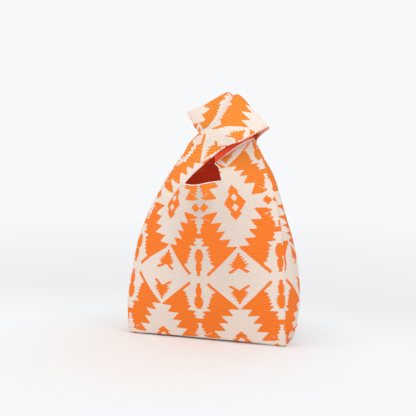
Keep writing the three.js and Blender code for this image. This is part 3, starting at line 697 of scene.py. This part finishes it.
knit, tree, shader, place = cotton("cotton_jacquard_knit")
inlay = node(tree, "Attribute", "Fac", attribute_name="orange")
fray = node(tree, "TexNoise", "Fac", {"Vector": place, "Scale": 0.6})
fray = node(tree, "MapRange", 0, [fray, 0.3, 0.7, -0.3, 0.3])
frayed = node(tree, "Math", 0, [inlay, fray], operation="ADD")
yarn = node(tree, "MapRange", 0, [frayed, -0.36, -0.12])
rib = node(tree, "TexWave", "Fac", {"Vector": place, "Scale": ONE_BAND / RIB}, bands_direction="Y")
course = node(tree, "TexWave", "Fac", {"Vector": place, "Scale": ONE_BAND / COURSE}, bands_direction="Y")
wale = node(tree, "TexWave", "Fac", {"Vector": place, "Scale": ONE_BAND / WALE}, bands_direction="X")
stitch = node(tree, "Math", 0, [course, wale], operation="MULTIPLY")
fleck = node(tree, "TexNoise", "Fac", {"Vector": place, "Scale": 0.85})
print("rib", RIB, "mm, ground stitch", COURSE, "by", WALE, "mm")

# %% [markdown]
# Painted shade on the body and the gaps under the mouth are boxes on the cloth with soft edges. Each edge is
# a straight ramp in the column or the row, and their product is the box. It could be painted as an attribute
# too, but here it needs no mesh.

# %% Painted shade on the body, and the open knit under the mouth
MID_SHADE_COLUMN = 15.0  # column of the middle of the painted shade on the front
column = node(tree, "SeparateXYZ", "X", [place])
row = column.node.outputs["Y"]
# painted shade: from row 145 down to row 80 the cream turns greyer and the orange deeper
painted_low_shade = node(tree, "MapRange", 0, [row, 145, 80])
# painted shade: a soft box across the middle of the front is greyer
off_mid_shade = node(tree, "Math", 0, [column, MID_SHADE_COLUMN], operation="SUBTRACT")
off_mid_shade = node(tree, "Math", 0, [off_mid_shade], operation="ABSOLUTE")
painted_mid_shade = node(tree, "MapRange", 0, [off_mid_shade, 95, 20])
for none_at, full_at in ((150, 100), (-70, 30)):
    reach = node(tree, "MapRange", 0, [row, none_at, full_at])
    painted_mid_shade = node(tree, "Math", 0, [painted_mid_shade, reach], operation="MULTIPLY")
off_spine = node(tree, "Math", 0, [column], operation="ABSOLUTE")
beside_spine = node(tree, "MapRange", 0, [off_spine, 24, 6])
high_up = node(tree, "MapRange", 0, [row, 50, 95])
under_mouth = node(tree, "Math", 0, [beside_spine, high_up], operation="MULTIPLY")
print("nodes so far", len(tree.nodes))

# %% [markdown]
# The grey share of the ground adds up flecks, painted shade on the body and across the middle of the front,
# and open gaps under the mouth. The bump follows the ribs on the orange and the stitches on the cream, so both
# catch the light as yarn does.

# %% Colour and relief of the knit
ORANGE, ORANGE_GROOVE_SHADE = "#EC8F36", "#E27121"  # on a rib, and painted shade between two
ORANGE_SHADED = "#ED7728"  # on a rib, painted in shade on the body
CREAM, CREAM_GREY = "#F0E1D5", "#AC9B8E"  # the ground, and the grey of its flecks, its gaps and its painted shade

grey = node(tree, "MapRange", 0, [fleck, 0.45, 0.72, 0.0, 0.4])
gaps = node(tree, "MapRange", 0, [fleck, 0.42, 0.6, 0.0, 0.5])
for where, share in ((painted_low_shade, 0.12), (painted_mid_shade, 0.2), (under_mouth, gaps)):
    shown = node(tree, "Math", 0, [where, share], operation="MULTIPLY")
    grey = node(tree, "Math", 0, [grey, shown], operation="ADD")
cream = node(tree, "Mix", 2, {0: grey, 6: linear(CREAM), 7: linear(CREAM_GREY)}, data_type="RGBA")
lit = node(tree, "Mix", 2, {0: painted_low_shade, 6: linear(ORANGE), 7: linear(ORANGE_SHADED)}, data_type="RGBA")
# painted shade: the orange is deeper between the ribs
between = node(tree, "MapRange", 0, [rib, 0.75, 0.05, 0.0, 0.8])
orange = node(tree, "Mix", 2, {0: between, 6: lit, 7: linear(ORANGE_GROOVE_SHADE)}, data_type="RGBA")
colour = node(tree, "Mix", 2, {0: yarn, 6: cream, 7: orange}, data_type="RGBA")
tree.links.new(colour, shader.inputs["Base Color"])
relief = node(tree, "Mix", 0, {0: yarn, 2: stitch, 3: rib}, data_type="FLOAT")
fuzz = node(tree, "Math", 0, [fleck, 0.6], operation="MULTIPLY")
relief = node(tree, "Math", 0, [relief, fuzz], operation="ADD")
bump = node(tree, "Bump", 0, {"Height": relief, "Strength": 0.6, "Distance": 0.6 * MM})
tree.links.new(bump, shader.inputs["Normal"])
print(knit.name, len(tree.nodes), "nodes")

# %% [markdown]
# ## Red inside and edge yarn
# The inner face is a red rib knit. Daylight comes through the thin cloth from outside, so it glows a little:
# a weak emission does that at no cost, where real translucency would need many more samples. The hems are
# linked with a pale yarn that turns orange where the chart does.

# %% Red lining and rolled edge yarn
RED, RED_LIT = "#B02411", "#EC6A44"
LINING_RIB, GLOW = 1.8, 0.24
PALE, PALE_LIT, EDGE_ORANGE = "#E6CDBD", "#F4E6DA", "#EE6A2C"

lining, tree, shader, place = cotton("red_cotton_lining")
rib = node(tree, "TexWave", "Fac", {"Vector": place, "Scale": ONE_BAND / LINING_RIB}, bands_direction="X")
fleck = node(tree, "TexNoise", "Fac", {"Vector": place, "Scale": 0.8, "Detail": 3.0})
shade = node(tree, "Math", 0, [rib, fleck], operation="MULTIPLY")
colour = node(tree, "Mix", 2, {0: shade, 6: linear(RED), 7: linear(RED_LIT)}, data_type="RGBA")
tree.links.new(colour, shader.inputs["Base Color"])
tree.links.new(colour, shader.inputs["Emission Color"])
shader.inputs["Emission Strength"].default_value = GLOW
bump = node(tree, "Bump", 0, {"Height": rib, "Strength": 0.5, "Distance": 0.4 * MM})
tree.links.new(bump, shader.inputs["Normal"])

edge, tree, shader, place = cotton("rolled_edge_yarn")
inlay = node(tree, "Attribute", "Fac", attribute_name="orange")
fleck = node(tree, "TexNoise", "Fac", {"Vector": place, "Scale": 0.5})
pale = node(tree, "Mix", 2, {0: fleck, 6: linear(PALE), 7: linear(PALE_LIT)}, data_type="RGBA")
on_top = node(tree, "MapRange", 0, [inlay, -0.12, 0.12])
colour = node(tree, "Mix", 2, {0: on_top, 6: pale, 7: linear(EDGE_ORANGE)}, data_type="RGBA")
tree.links.new(colour, shader.inputs["Base Color"])
print("materials", [m.name for m in (knit, lining, edge)])

# %% [markdown]
# ## The cloth pieces
# The table is cut down the middle of each side into a front and a back, because two pieces of this many
# stitches are easier to handle than one. The back's columns run past the end of the loop to its start.

# %% Front and back cloth
cloth_uv = np.stack([cloth_u, cloth_v], -1)
split = int(np.where(is_right)[0][half_side])
fabrics = [knit, lining]
fore_part = np.r_[0 : split + 1]
front_cloth = grid_mesh("front_cloth", cloth[:, fore_part], cloth_uv[:, fore_part], fabrics, KNIT_THICK,
                        keep=exists[:, fore_part])
aft_part = np.r_[split : len(w), 0]
aft_uv = cloth_uv[:, aft_part] + np.stack([WAY_ROUND * is_left[aft_part], 0 * w[aft_part]], -1)
back_cloth = grid_mesh("back_cloth", cloth[:, aft_part], aft_uv, fabrics, KNIT_THICK, keep=exists[:, aft_part])
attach(front_cloth, "bag")
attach(back_cloth, "bag")
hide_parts("front_panel", "front_lining", "short_handle_front", "short_handle_lining",
            "long_handle_front", "front_left_seam", "front_right_seam")
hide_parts("back_panel", "back_lining", "left_gusset", "right_gusset", "left_lining",
            "right_lining", "left_corner", "right_corner", "short_handle_rear", "short_handle_back",
            "long_handle_rear", "back_left_seam", "back_right_seam")
print("front", len(front_cloth.data.polygons), "back", len(back_cloth.data.polygons), "stitches")

# %% [markdown]
# ## Base
# Underneath, the front and the back turn in and meet in a seam a little behind the middle. Every place on the
# foot's outline is carried straight to that seam. A flat plate would be simpler, but its motifs wouldn't run
# on from the sides.

# %% Base
BASE_THICK, BASE_HEIGHT = 0.25, 0.3  # thin and just off the floor
BASE_CLOTH = 22.0  # cloth from the foot to the seam
SEAM_BEHIND, SEAM_SHORTER = 6.0, 0.06  # the seam's place behind the middle, and the share it is shorter by
BASE_FADE = 6  # power that brings the lifted foot down quickly

turn_under = np.linspace(0, 1, 30)[:, None]
ring = cloth[0]
base_points = np.stack([
    ring[:, 0] * (1 - SEAM_SHORTER * turn_under),
    ring[:, 1] + (SEAM_BEHIND - ring[:, 1]) * turn_under,
    BASE_HEIGHT + ring[:, 2] * (1 - turn_under) ** BASE_FADE,
], -1)
base_uv = np.stack(np.broadcast_arrays(ring[None, :, 0], v[0][None] - turn_under * BASE_CLOTH), -1)
base_points, base_uv = (np.concatenate([table, table[:, :1]], 1)[::-1] for table in (base_points, base_uv))
base = grid_mesh("base_cloth", base_points, base_uv, fabrics, BASE_THICK)
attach(base, "bag")
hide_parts("base_front", "base_back", "base_lining", "bottom_seam")
print("base", len(base.data.polygons), "faces")

# %% [markdown]
# ## Edge yarn
# The knit's edges roll in and are linked by a plied yarn, which shows as a row of slanting beads. A curve
# with a round bevel would give a smooth cord, so a tube with a swelling radius is worked out instead.

# %% Plied yarn along a path
HEM, MOUTH_HEM, BOX_SEAM = 0.8, 0.65, 0.7  # radius of the yarn on the handles, the mouth and the box seams
HEM_STEP = 0.6  # from ring to ring along the yarn
PLY_TURN, PLY_SWELL = 4.2, 0.16  # length of one turn, and share by which the radius swells
ASIDE = [0.31, 0.85, 0.42]  # a way that no path takes, to start each ring from


def tube(name, path, radius, material, twist, ply=2, sides=10, yarn=-1.0):
    """Round section carried along a path and closed at both ends. Its radius swells and falls as the cosine
    of the angle turned along the path, times the number of plies, which reads as plied yarn."""
    t = np.gradient(path, axis=0)
    t /= np.linalg.norm(t, axis=1, keepdims=True)
    side = np.cross(t, ASIDE)
    side /= np.linalg.norm(side, axis=1, keepdims=True)
    up = np.cross(side, t)
    angle = np.linspace(0, 2 * math.pi, sides, endpoint=False)
    length = np.concatenate([[0], np.cumsum(np.linalg.norm(np.diff(path, axis=0), axis=1))])
    turn = 2 * math.pi * length[:, None] / twist
    size = radius * (1 + PLY_SWELL * np.cos(ply * (angle - turn)))
    ring = np.cos(angle)[None, :, None] * side[:, None] + np.sin(angle)[None, :, None] * up[:, None]
    points = path[:, None] + size[..., None] * ring
    points[0], points[-1] = path[0], path[-1]
    points = np.concatenate([points, points[:, :1]], 1)[:, ::-1]
    girth = np.append(angle, 2 * math.pi)[None, ::-1] * radius
    uv = np.stack(np.broadcast_arrays(girth, length[:, None]), -1)
    inlay = np.repeat(np.broadcast_to(yarn, len(path))[:, None], sides + 1, axis=1)
    return grid_mesh(name, points, uv, [material], yarn=inlay, weld=True)


def hem_along(name, path, *nodes, radius=HEM, yarn=-1.0):
    """Plied edge yarn along a path, riding on the bag in place of the named solids."""
    piece = tube(name, path, radius, edge, PLY_TURN, yarn=yarn)
    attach(piece, "bag")
    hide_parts(*nodes)
    print(name, len(path), "rings")


def fine(path):
    """The same path with points a fixed step apart. Columns after the third are carried along."""
    length = np.concatenate([[0], np.cumsum(np.linalg.norm(np.diff(path[:, :3], axis=0), axis=1))])
    at = np.linspace(0, length[-1], int(length[-1] / HEM_STEP))
    return np.stack([np.interp(at, length, column) for column in path.T], 1)


def edge_of(rows, columns):
    """Points and cloth places along an edge of the table."""
    return fine(np.column_stack([cloth[rows, columns], cloth_u[rows, columns], cloth_v[rows, columns]]))


print("edge yarn", 2 * HEM, "mm thick")

# %% [markdown]
# ## Hems of the handles
# Each hem follows the last column of its band, in the yarn that the chart gives there. Towards the tip the
# stitches that link it show, as orange dashes. Behind, the hem lies over the lining and is orange throughout.

# %% Hems of the handles
DASH, DASH_SHIFT = 1.5, 0.2  # swing of the yarn's depth along the hem, and its shift to the pale side
OVER_LINING = 0.7  # how far the hem is shifted to cover the lining

rows_short = slice(len(h) - 1, len(h) + len(short))
rows_long = slice(len(h) - 1, len(h) + len(long_band))
path = edge_of(rows_short, short_columns[-1])
linked = DASH * np.sin(2 * math.pi * np.arange(len(path)) * HEM_STEP / RIB) - DASH_SHIFT
toward_tip = (path[:, 0] > 52) & (path[:, 1] < -20)
hem_along("short_front_hem", path[:, :3], "short_handle_front_hem",
          yarn=np.where(toward_tip, linked, chart(path[:, 3], path[:, 4])))
for name, rows_at, column_at, solid in (
    ("short_rear_hem", rows_short, short_columns[0], "short_handle_rear_hem"),
    ("long_rear_hem", rows_long, long_columns[-1], "long_handle_rear_hem"),
):
    path = edge_of(rows_at, column_at)
    over_lining = (path[:, 1] > 30) & (path[:, 2] < 230)
    path[:, 0] -= OVER_LINING * over_lining
    hem_along(name, path[:, :3], solid, yarn=np.where(over_lining, 1.0, chart(path[:, 3], path[:, 4])))

# %% [markdown]
# ## Hems of the mouth and seams of the boxed corners
# The mouth has a thinner, pale hem. The back one lies a little behind and below the edge, so that the red
# inside shows right up to it. The seam across each boxed corner is orange.

# %% Hems of the mouth and box seams
HEM_LAP = 0.01  # how far a mouth hem runs on into the handles, as a share of the face
BEHIND_EDGE = [0, 0.7, -0.9]
BOX_STAND = 0.3  # how far a box seam stands out
BOX_ENDS = 2  # stitches left free at its ends

mouth_front = np.where(is_front & (w >= -MOUTH_FRONT - HEM_LAP) & (w <= MOUTH_RIGHT + HEM_LAP))[0]
mouth_back = np.where(is_back & (w >= -MOUTH_BACK_RIGHT - HEM_LAP) & (w <= MOUTH_BACK_LEFT + HEM_LAP))[0]
for name, columns, shift, solid in (
    ("mouth_front_hem", mouth_front, [0, 0, 0], "front_mouth_hem"),
    ("mouth_back_hem", mouth_back, BEHIND_EDGE, "back_mouth_hem"),
):
    hem_along(name, edge_of(len(h) - 1, columns)[:, :3] + shift, solid, radius=MOUTH_HEM)
box_row = int(np.argmin(np.abs(h * HEIGHT - BOX_HEIGHT)))
left_columns, right_columns = np.roll(np.where(is_left)[0], -half_side), np.where(is_right)[0]
for side, name, columns in ((-1, "left", left_columns), (1, "right", right_columns)):
    path = edge_of(box_row, columns[BOX_ENDS:-BOX_ENDS])
    hem_along(name + "_box_seam", path[:, :3] + [BOX_STAND * side, 0, 0], name + "_corner_seam",
              radius=BOX_SEAM, yarn=1.0)

# %% [markdown]
# ## Tip of the short handle
# At the tip the knit is turned in, so a strip of pattern shows inside the edge where the red would be. The
# strip is a copy of the outermost columns, moved inward along the cloth's own normal. Solidify can't do it,
# because it gives the whole inner face one material.

# %% Tip of the short handle
TIP_COLUMNS, TIP_ENDS = 18, 6  # stitches across the strip, and rows left free at its foot
TIP_GAP, TIP_THICK = 0.3, 0.25

rows_tip = np.arange(len(h) + len(SHORT_ROWS), len(h) + len(short) - TIP_ENDS)
block = np.ix_(rows_tip, short_columns[-TIP_COLUMNS:])
normal = np.cross(np.gradient(cloth[block], axis=1), np.gradient(cloth[block], axis=0))
normal /= np.linalg.norm(normal, axis=-1, keepdims=True)
tip_points = cloth[block] - (KNIT_THICK + TIP_GAP) * normal
tip = grid_mesh("tip_facing", tip_points[:, ::-1], cloth_uv[block][:, ::-1], [knit], TIP_THICK)
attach(tip, "bag")
print("tip", len(tip.data.polygons), "faces")

# %% [markdown]
# ## Lapel
# The long handle's inner edge is turned out like a lapel, so a strip of its red inside shows, with a pale hem
# along its lower edge. The strip is straight between two rails and bulges in the middle. Bending the band's
# own table round this edge would need far finer stitches there.

# %% Lapel: the long handle's inner edge turned out
FACING_HEM = MOUTH + [[14.6, -29.5, 23.4], [25, -30, 31.8], [36, -32, 39.4], [45, -34, 45.2],
                      [55, -36, 50.4], [63, -36, 53]]
FACING_FOLD = MOUTH + [[12.5, -26, 36], [23, -27, 43], [33, -28, 49.5], [41, -29, 54], [49, -30, 58],
                       [58, -31, 60]]
LAPEL_ROOT = MOUTH + [[24, -28.6, 14], [20.5, -28.8, 16.4], [16.5, -29, 20]]  # the hem starts at the mouth
LAPEL_BULGE, LAPEL_THICK = 1.6, 1.2
LAPEL_LONG, LAPEL_WIDE = 62.0, 10.0  # mm of cloth

t = np.linspace(0, 1, 60)
across_lapel = np.linspace(0, 1, 14)[None, :, None]
low, high = spline(FACING_HEM, t)[:, None], spline(FACING_FOLD, t)[:, None]
lapel_points = low + across_lapel * (high - low)
lapel_points[..., 1] -= LAPEL_BULGE * np.sin(math.pi * across_lapel[..., 0])
lapel_uv = np.stack(np.broadcast_arrays(t[:, None] * LAPEL_LONG, across_lapel[..., 0] * LAPEL_WIDE), -1)
lapel = grid_mesh("lapel", lapel_points, lapel_uv, [lining], LAPEL_THICK)
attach(lapel, "bag")
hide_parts("long_handle_facing")
lapel_path = spline(np.vstack([LAPEL_ROOT, FACING_HEM]), np.linspace(0, 1, 120))
hem_along("lapel_hem", fine(lapel_path), "long_handle_front_hem", radius=MOUTH_HEM)
print("lapel", len(lapel.data.polygons), "faces")

# %% [markdown]
# ## The long handle through the short one
# Inside the knot the long handle is gathered to a flat rope. Behind, it turns flat, is sewn over a rolled
# bead and hangs as a free loop. A section carried along a line needs three things at each place: the heading
# of the line, and the two ways across it. The wide way turns by a quarter before the bead. A simulation
# could gather the cloth, but hardly any of it shows.

# %% Line of the neck, and the ways across it
NECK_PATH = MOUTH + [[36.6, 0.4, 37.5], [14, 5, 42], [-6, 16, 39], [-21, 26, 32], [-32, 34, 23], [-35, 41, 18]]
LOOP_AXIS = MOUTH + [-35, 52, 10]

t = np.linspace(0, 1, 90)
bead_top = LOOP_AXIS + [0, -2.9, 1.7]
arched = (NECK_PATH[-1] + bead_top) / 2 + [0, 0, 2]
neck_line = spline(np.vstack([NECK_PATH, arched, bead_top]), t)
turn = ease((t - 0.62) / 0.34)[:, None] * math.pi / 2
heading = np.gradient(neck_line, axis=0)
heading /= np.linalg.norm(heading, axis=1, keepdims=True)
wide = np.cos(turn) * np.array([0, 0, 1.0]) - np.sin(turn) * np.array([1.0, 0, 0])
wide -= (wide * heading).sum(1, keepdims=True) * heading
wide /= np.linalg.norm(wide, axis=1, keepdims=True)
thin = np.cross(wide, heading)
neck_length = np.concatenate([[0], np.cumsum(np.linalg.norm(np.diff(neck_line, axis=0), axis=1))])
print("neck", round(float(neck_length[-1])), "mm long")

# %% [markdown]
# ## Neck and throat
# The section is an ellipse with shallow gathers. It widens to the loop's width and thins where it is sewn to
# the bead. The gathered stretch bends between the bag and the throat, so it is blended across that joint.

# %% Neck and throat
LOOP_WIDTH = 44.0
NECK_WIDE, NECK_THIN, THROAT_THIN = 17.0, 4.5, 2.2  # half axes of the ellipse
GATHERS, GATHER_DEPTH = 9, 0.05  # folds round the neck, and their depth as a share of its radius
SEWN_FLAT = 0.78  # share of its thickness that the neck loses where it is sewn to the bead
NECK_U, NECK_V = 100.0, 205.0  # cloth place at the neck's start; its cloth is one spine wide

angle = np.linspace(0, 2 * math.pi, 97)
gather = 1 + GATHER_DEPTH * np.cos(GATHERS * angle)[None] * (1 - ease((t - 0.75) / 0.2))[:, None]
widening = ease((t - 0.6) / 0.35)
half_wide = (NECK_WIDE + (LOOP_WIDTH / 2 - NECK_WIDE) * widening)[:, None]
half_thin = (NECK_THIN + (THROAT_THIN - NECK_THIN) * widening)[:, None]
half_thin = half_thin * (1 - SEWN_FLAT * ease((t - 0.9) / 0.1))[:, None]
neck_points = (neck_line[:, None] + (half_wide * np.sin(angle) * gather)[..., None] * wide[:, None]
               + (half_thin * np.cos(angle) * gather)[..., None] * thin[:, None])
neck_points[0], neck_points[-1] = neck_line[0], neck_line[-1]
round_neck = NECK_U + SPINE * angle[None] / (2 * math.pi)
neck_uv = np.stack(np.broadcast_arrays(round_neck, NECK_V + neck_length[:, None]), -1)
neck_piece = grid_mesh("long_neck", neck_points, neck_uv, fabrics, weld=True)
t_face, in_front = t[:-1, None], np.cos(angle[:-1]) > -0.2
inner = in_front & (t_face < 0.8) | (t_face > 0.5) & (t_face < 0.97)
neck_piece.data.polygons.foreach_set("material_index", inner.ravel().astype(np.int32))
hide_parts("long_handle_neck", "long_handle_throat")
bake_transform(neck_piece)
print("red faces of the neck", int(inner.sum()), "of", inner.size)

# %% [markdown]
# ## Free loop and its bead
# The free loop is a flat band that goes down from the bead and comes up again behind. Its line is drawn in
# depth and height only, then spread sideways into a band with a slight waist and curled edges. Two strips
# sewn at the foot would need the bend made apart. The bead is the rolled seam that the loop hangs on.

# %% Loop and its bead
LOOP_DROP, LOOP_THICK, BEAD = 126.0, 1.4, 3.0
HEAD_GAP, OPENING = 2.0, 8.4  # from the middle to the band's outer face, at the bead and at its widest
LOOP_ROUND = 2.0  # in stitches
LOOP_START, FULLNESS = 0.03, 0.7  # share of its bow that is left out at the bead, and power that fills it
CURL, WAIST = 0.144, 0.06  # share by which the edges curl in, and the band is narrower at its foot
LOOP_U, LOOP_V = 150.0, 340.0  # cloth place at the loop's start
BEAD_TURN = 9.0  # length of one turn of its plies

across_loop = np.linspace(1, -1, 38)
down = np.linspace(0, 1, 106)
bow = np.sin(math.pi * (LOOP_START + (1 - LOOP_START) * down).clip(0, 1)) ** FULLNESS
half_gap = HEAD_GAP + (OPENING - HEAD_GAP) * bow
side_z = -BEAD - LOOP_DROP * down
loop_line = np.concatenate([np.stack([-half_gap, side_z], 1), np.stack([half_gap, side_z], 1)[::-1]])
loop_line = soften(loop_line, 0, LOOP_ROUND)
loop_length = np.concatenate([[0], np.cumsum(np.linalg.norm(np.diff(loop_line, axis=0), axis=1))])
to_foot = np.sin(math.pi * np.linspace(0, 1, len(loop_line)))[:, None]
curl = CURL * across_loop[None] ** 4 * to_foot
waist = 1 - WAIST * to_foot**2
loop_points = np.stack(np.broadcast_arrays(
    LOOP_AXIS[0] + across_loop[None] * waist * LOOP_WIDTH / 2,
    LOOP_AXIS[1] + loop_line[:, :1] * (1 - curl),
    LOOP_AXIS[2] + loop_line[:, 1:]), -1)
across_cloth = LOOP_U - across_loop[None] * LOOP_WIDTH / 2
loop_uv = np.stack(np.broadcast_arrays(across_cloth, LOOP_V + loop_length[:, None]), -1)
loop = grid_mesh("long_loop", loop_points, loop_uv, fabrics, LOOP_THICK)
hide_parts("long_handle_loop_inner", "long_handle_loop_outer", "long_handle_bend_seam")
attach(loop, "loop")
bead_path = LOOP_AXIS + np.linspace(-LOOP_WIDTH / 2, LOOP_WIDTH / 2, 74)[:, None] * np.array([1, 0, 0])
bead = tube("loop_bead", bead_path, BEAD, edge, BEAD_TURN, ply=3, sides=18)
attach(bead, "throat")
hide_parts("long_handle_bead")
print("loop", round(float(loop_length[-1])), "mm of band")

# %% [markdown]
# ## White stage
# The floor is white paper that takes the shadow close to the bag. Farther out the camera sees it as the
# backdrop's white, dimmed a little behind the bag as painted shade, so no horizon shows. A shadow catcher
# would need compositing, so the paper's own material mixes in that white with the distance from the bag.

# %% Paper floor
BACKDROP, PAPER = "#F7F8FA", "#E5E3E2"
FLOOR = 4.0  # half its side, m
SHADOW_MIDDLE = (-0.03, -0.08, 0.0)
PAINTED_DIM = 0.9  # painted shade: the backdrop white is a little dimmer just behind the bag

floor_mesh = bpy.data.meshes.new("floor")
corners = [(-FLOOR, -FLOOR, 0), (FLOOR, -FLOOR, 0), (FLOOR, FLOOR, 0), (-FLOOR, FLOOR, 0)]
floor_mesh.from_pydata(corners, [], [(0, 1, 2, 3)])
floor = bpy.data.objects.new("floor", floor_mesh)
bpy.context.scene.collection.objects.link(floor)
# uncoated paper is matt, so the shadow on it stays soft and nothing is mirrored
paper = bpy.data.materials.new("white_paper")
paper.use_nodes = True
tree = paper.node_tree
shader = tree.nodes["Principled BSDF"]
shader.inputs["Base Color"].default_value = linear(PAPER)
shader.inputs["Roughness"].default_value = 0.9
shader.inputs["Specular IOR Level"].default_value = 0.1
spot = node(tree, "NewGeometry", "Position")
far = node(tree, "VectorMath", "Value", [spot, SHADOW_MIDDLE], operation="DISTANCE")
seen = node(tree, "LightPath", "Is Camera Ray")
# painted shade: the camera's white dims behind the bag and brightens again farther out
behind_bag = node(tree, "MapRange", 0, [node(tree, "SeparateXYZ", "Y", [spot]), 0.0, 0.25, 1.0, PAINTED_DIM])
farther_out = node(tree, "MapRange", 0, [far, 0.35, 1.1, PAINTED_DIM, 1.0])
painted_dim = node(tree, "Math", 0, [behind_bag, farther_out], operation="MAXIMUM")
bright = node(tree, "Emission", 0, {"Color": linear(BACKDROP), "Strength": painted_dim})
past_shadow = node(tree, "MapRange", 0, [far, 0.09, 0.25])
share = node(tree, "Math", 0, [past_shadow, seen], operation="MULTIPLY")
mixed = node(tree, "MixShader", 0, [share, shader.outputs[0], bright])
tree.links.new(mixed, tree.nodes["Material Output"].inputs["Surface"])
floor_mesh.materials.append(paper)
print("floor", 2 * FLOOR, "m wide")

# %% [markdown]
# ## Light
# The photograph has soft light from all round, with a little more from the front left. An even white world
# gives most of it, and four large area lights add the direction. The camera sees the backdrop's white instead
# of the world's.

# %% World and softboxes
DAYLIGHT = 0.77  # strength of the even white world

world = bpy.data.worlds.new("studio")
bpy.context.scene.world = world
world.use_nodes = True
tree = world.node_tree
background = tree.nodes["Background"]
background.inputs["Color"].default_value = linear("#FFFFFF")
background.inputs["Strength"].default_value = DAYLIGHT
rays = node(tree, "LightPath", "Is Camera Ray")
backdrop = node(tree, "Background", 0, {"Color": linear(BACKDROP), "Strength": 1.0})
either = node(tree, "MixShader", 0, [rays, background.outputs[0], backdrop])
tree.links.new(either, tree.nodes["World Output"].inputs["Surface"])
bpy.context.scene.view_settings.view_transform = "Standard"


def softbox(name, place, aim, size, power):
    """Square area light at a place, turned to an aim, sizes in metres and power in watts. It shines along its
    own -Z: the tip is the angle between the way to the aim and straight down, and the turn is its heading."""
    light = bpy.data.lights.new(name, "AREA")
    light.size, light.energy = size, power
    lamp = bpy.data.objects.new(name, light)
    lamp.location = place
    way = np.array(aim, float) - np.array(place, float)
    tip_angle = math.acos(-way[2] / np.linalg.norm(way))
    lamp.rotation_euler = (tip_angle, 0, math.atan2(way[0], -way[1]) + math.pi)
    bpy.context.scene.collection.objects.link(lamp)
    print(name, power, "W")


softbox("key_softbox", (-1.2, -0.9, 1.6), (0, 0, 0.15), 1.4, 15)
softbox("fill_softbox", (1.7, -0.7, 0.9), (0, 0, 0.12), 1.2, 9.5)
softbox("top_softbox", (0, -0.5, 1.8), (0, 0, 0.1), 1.2, 2)
softbox("bounce_card", (0.5, -1.4, 0.3), (0, 0, 0.2), 0.9, 4)
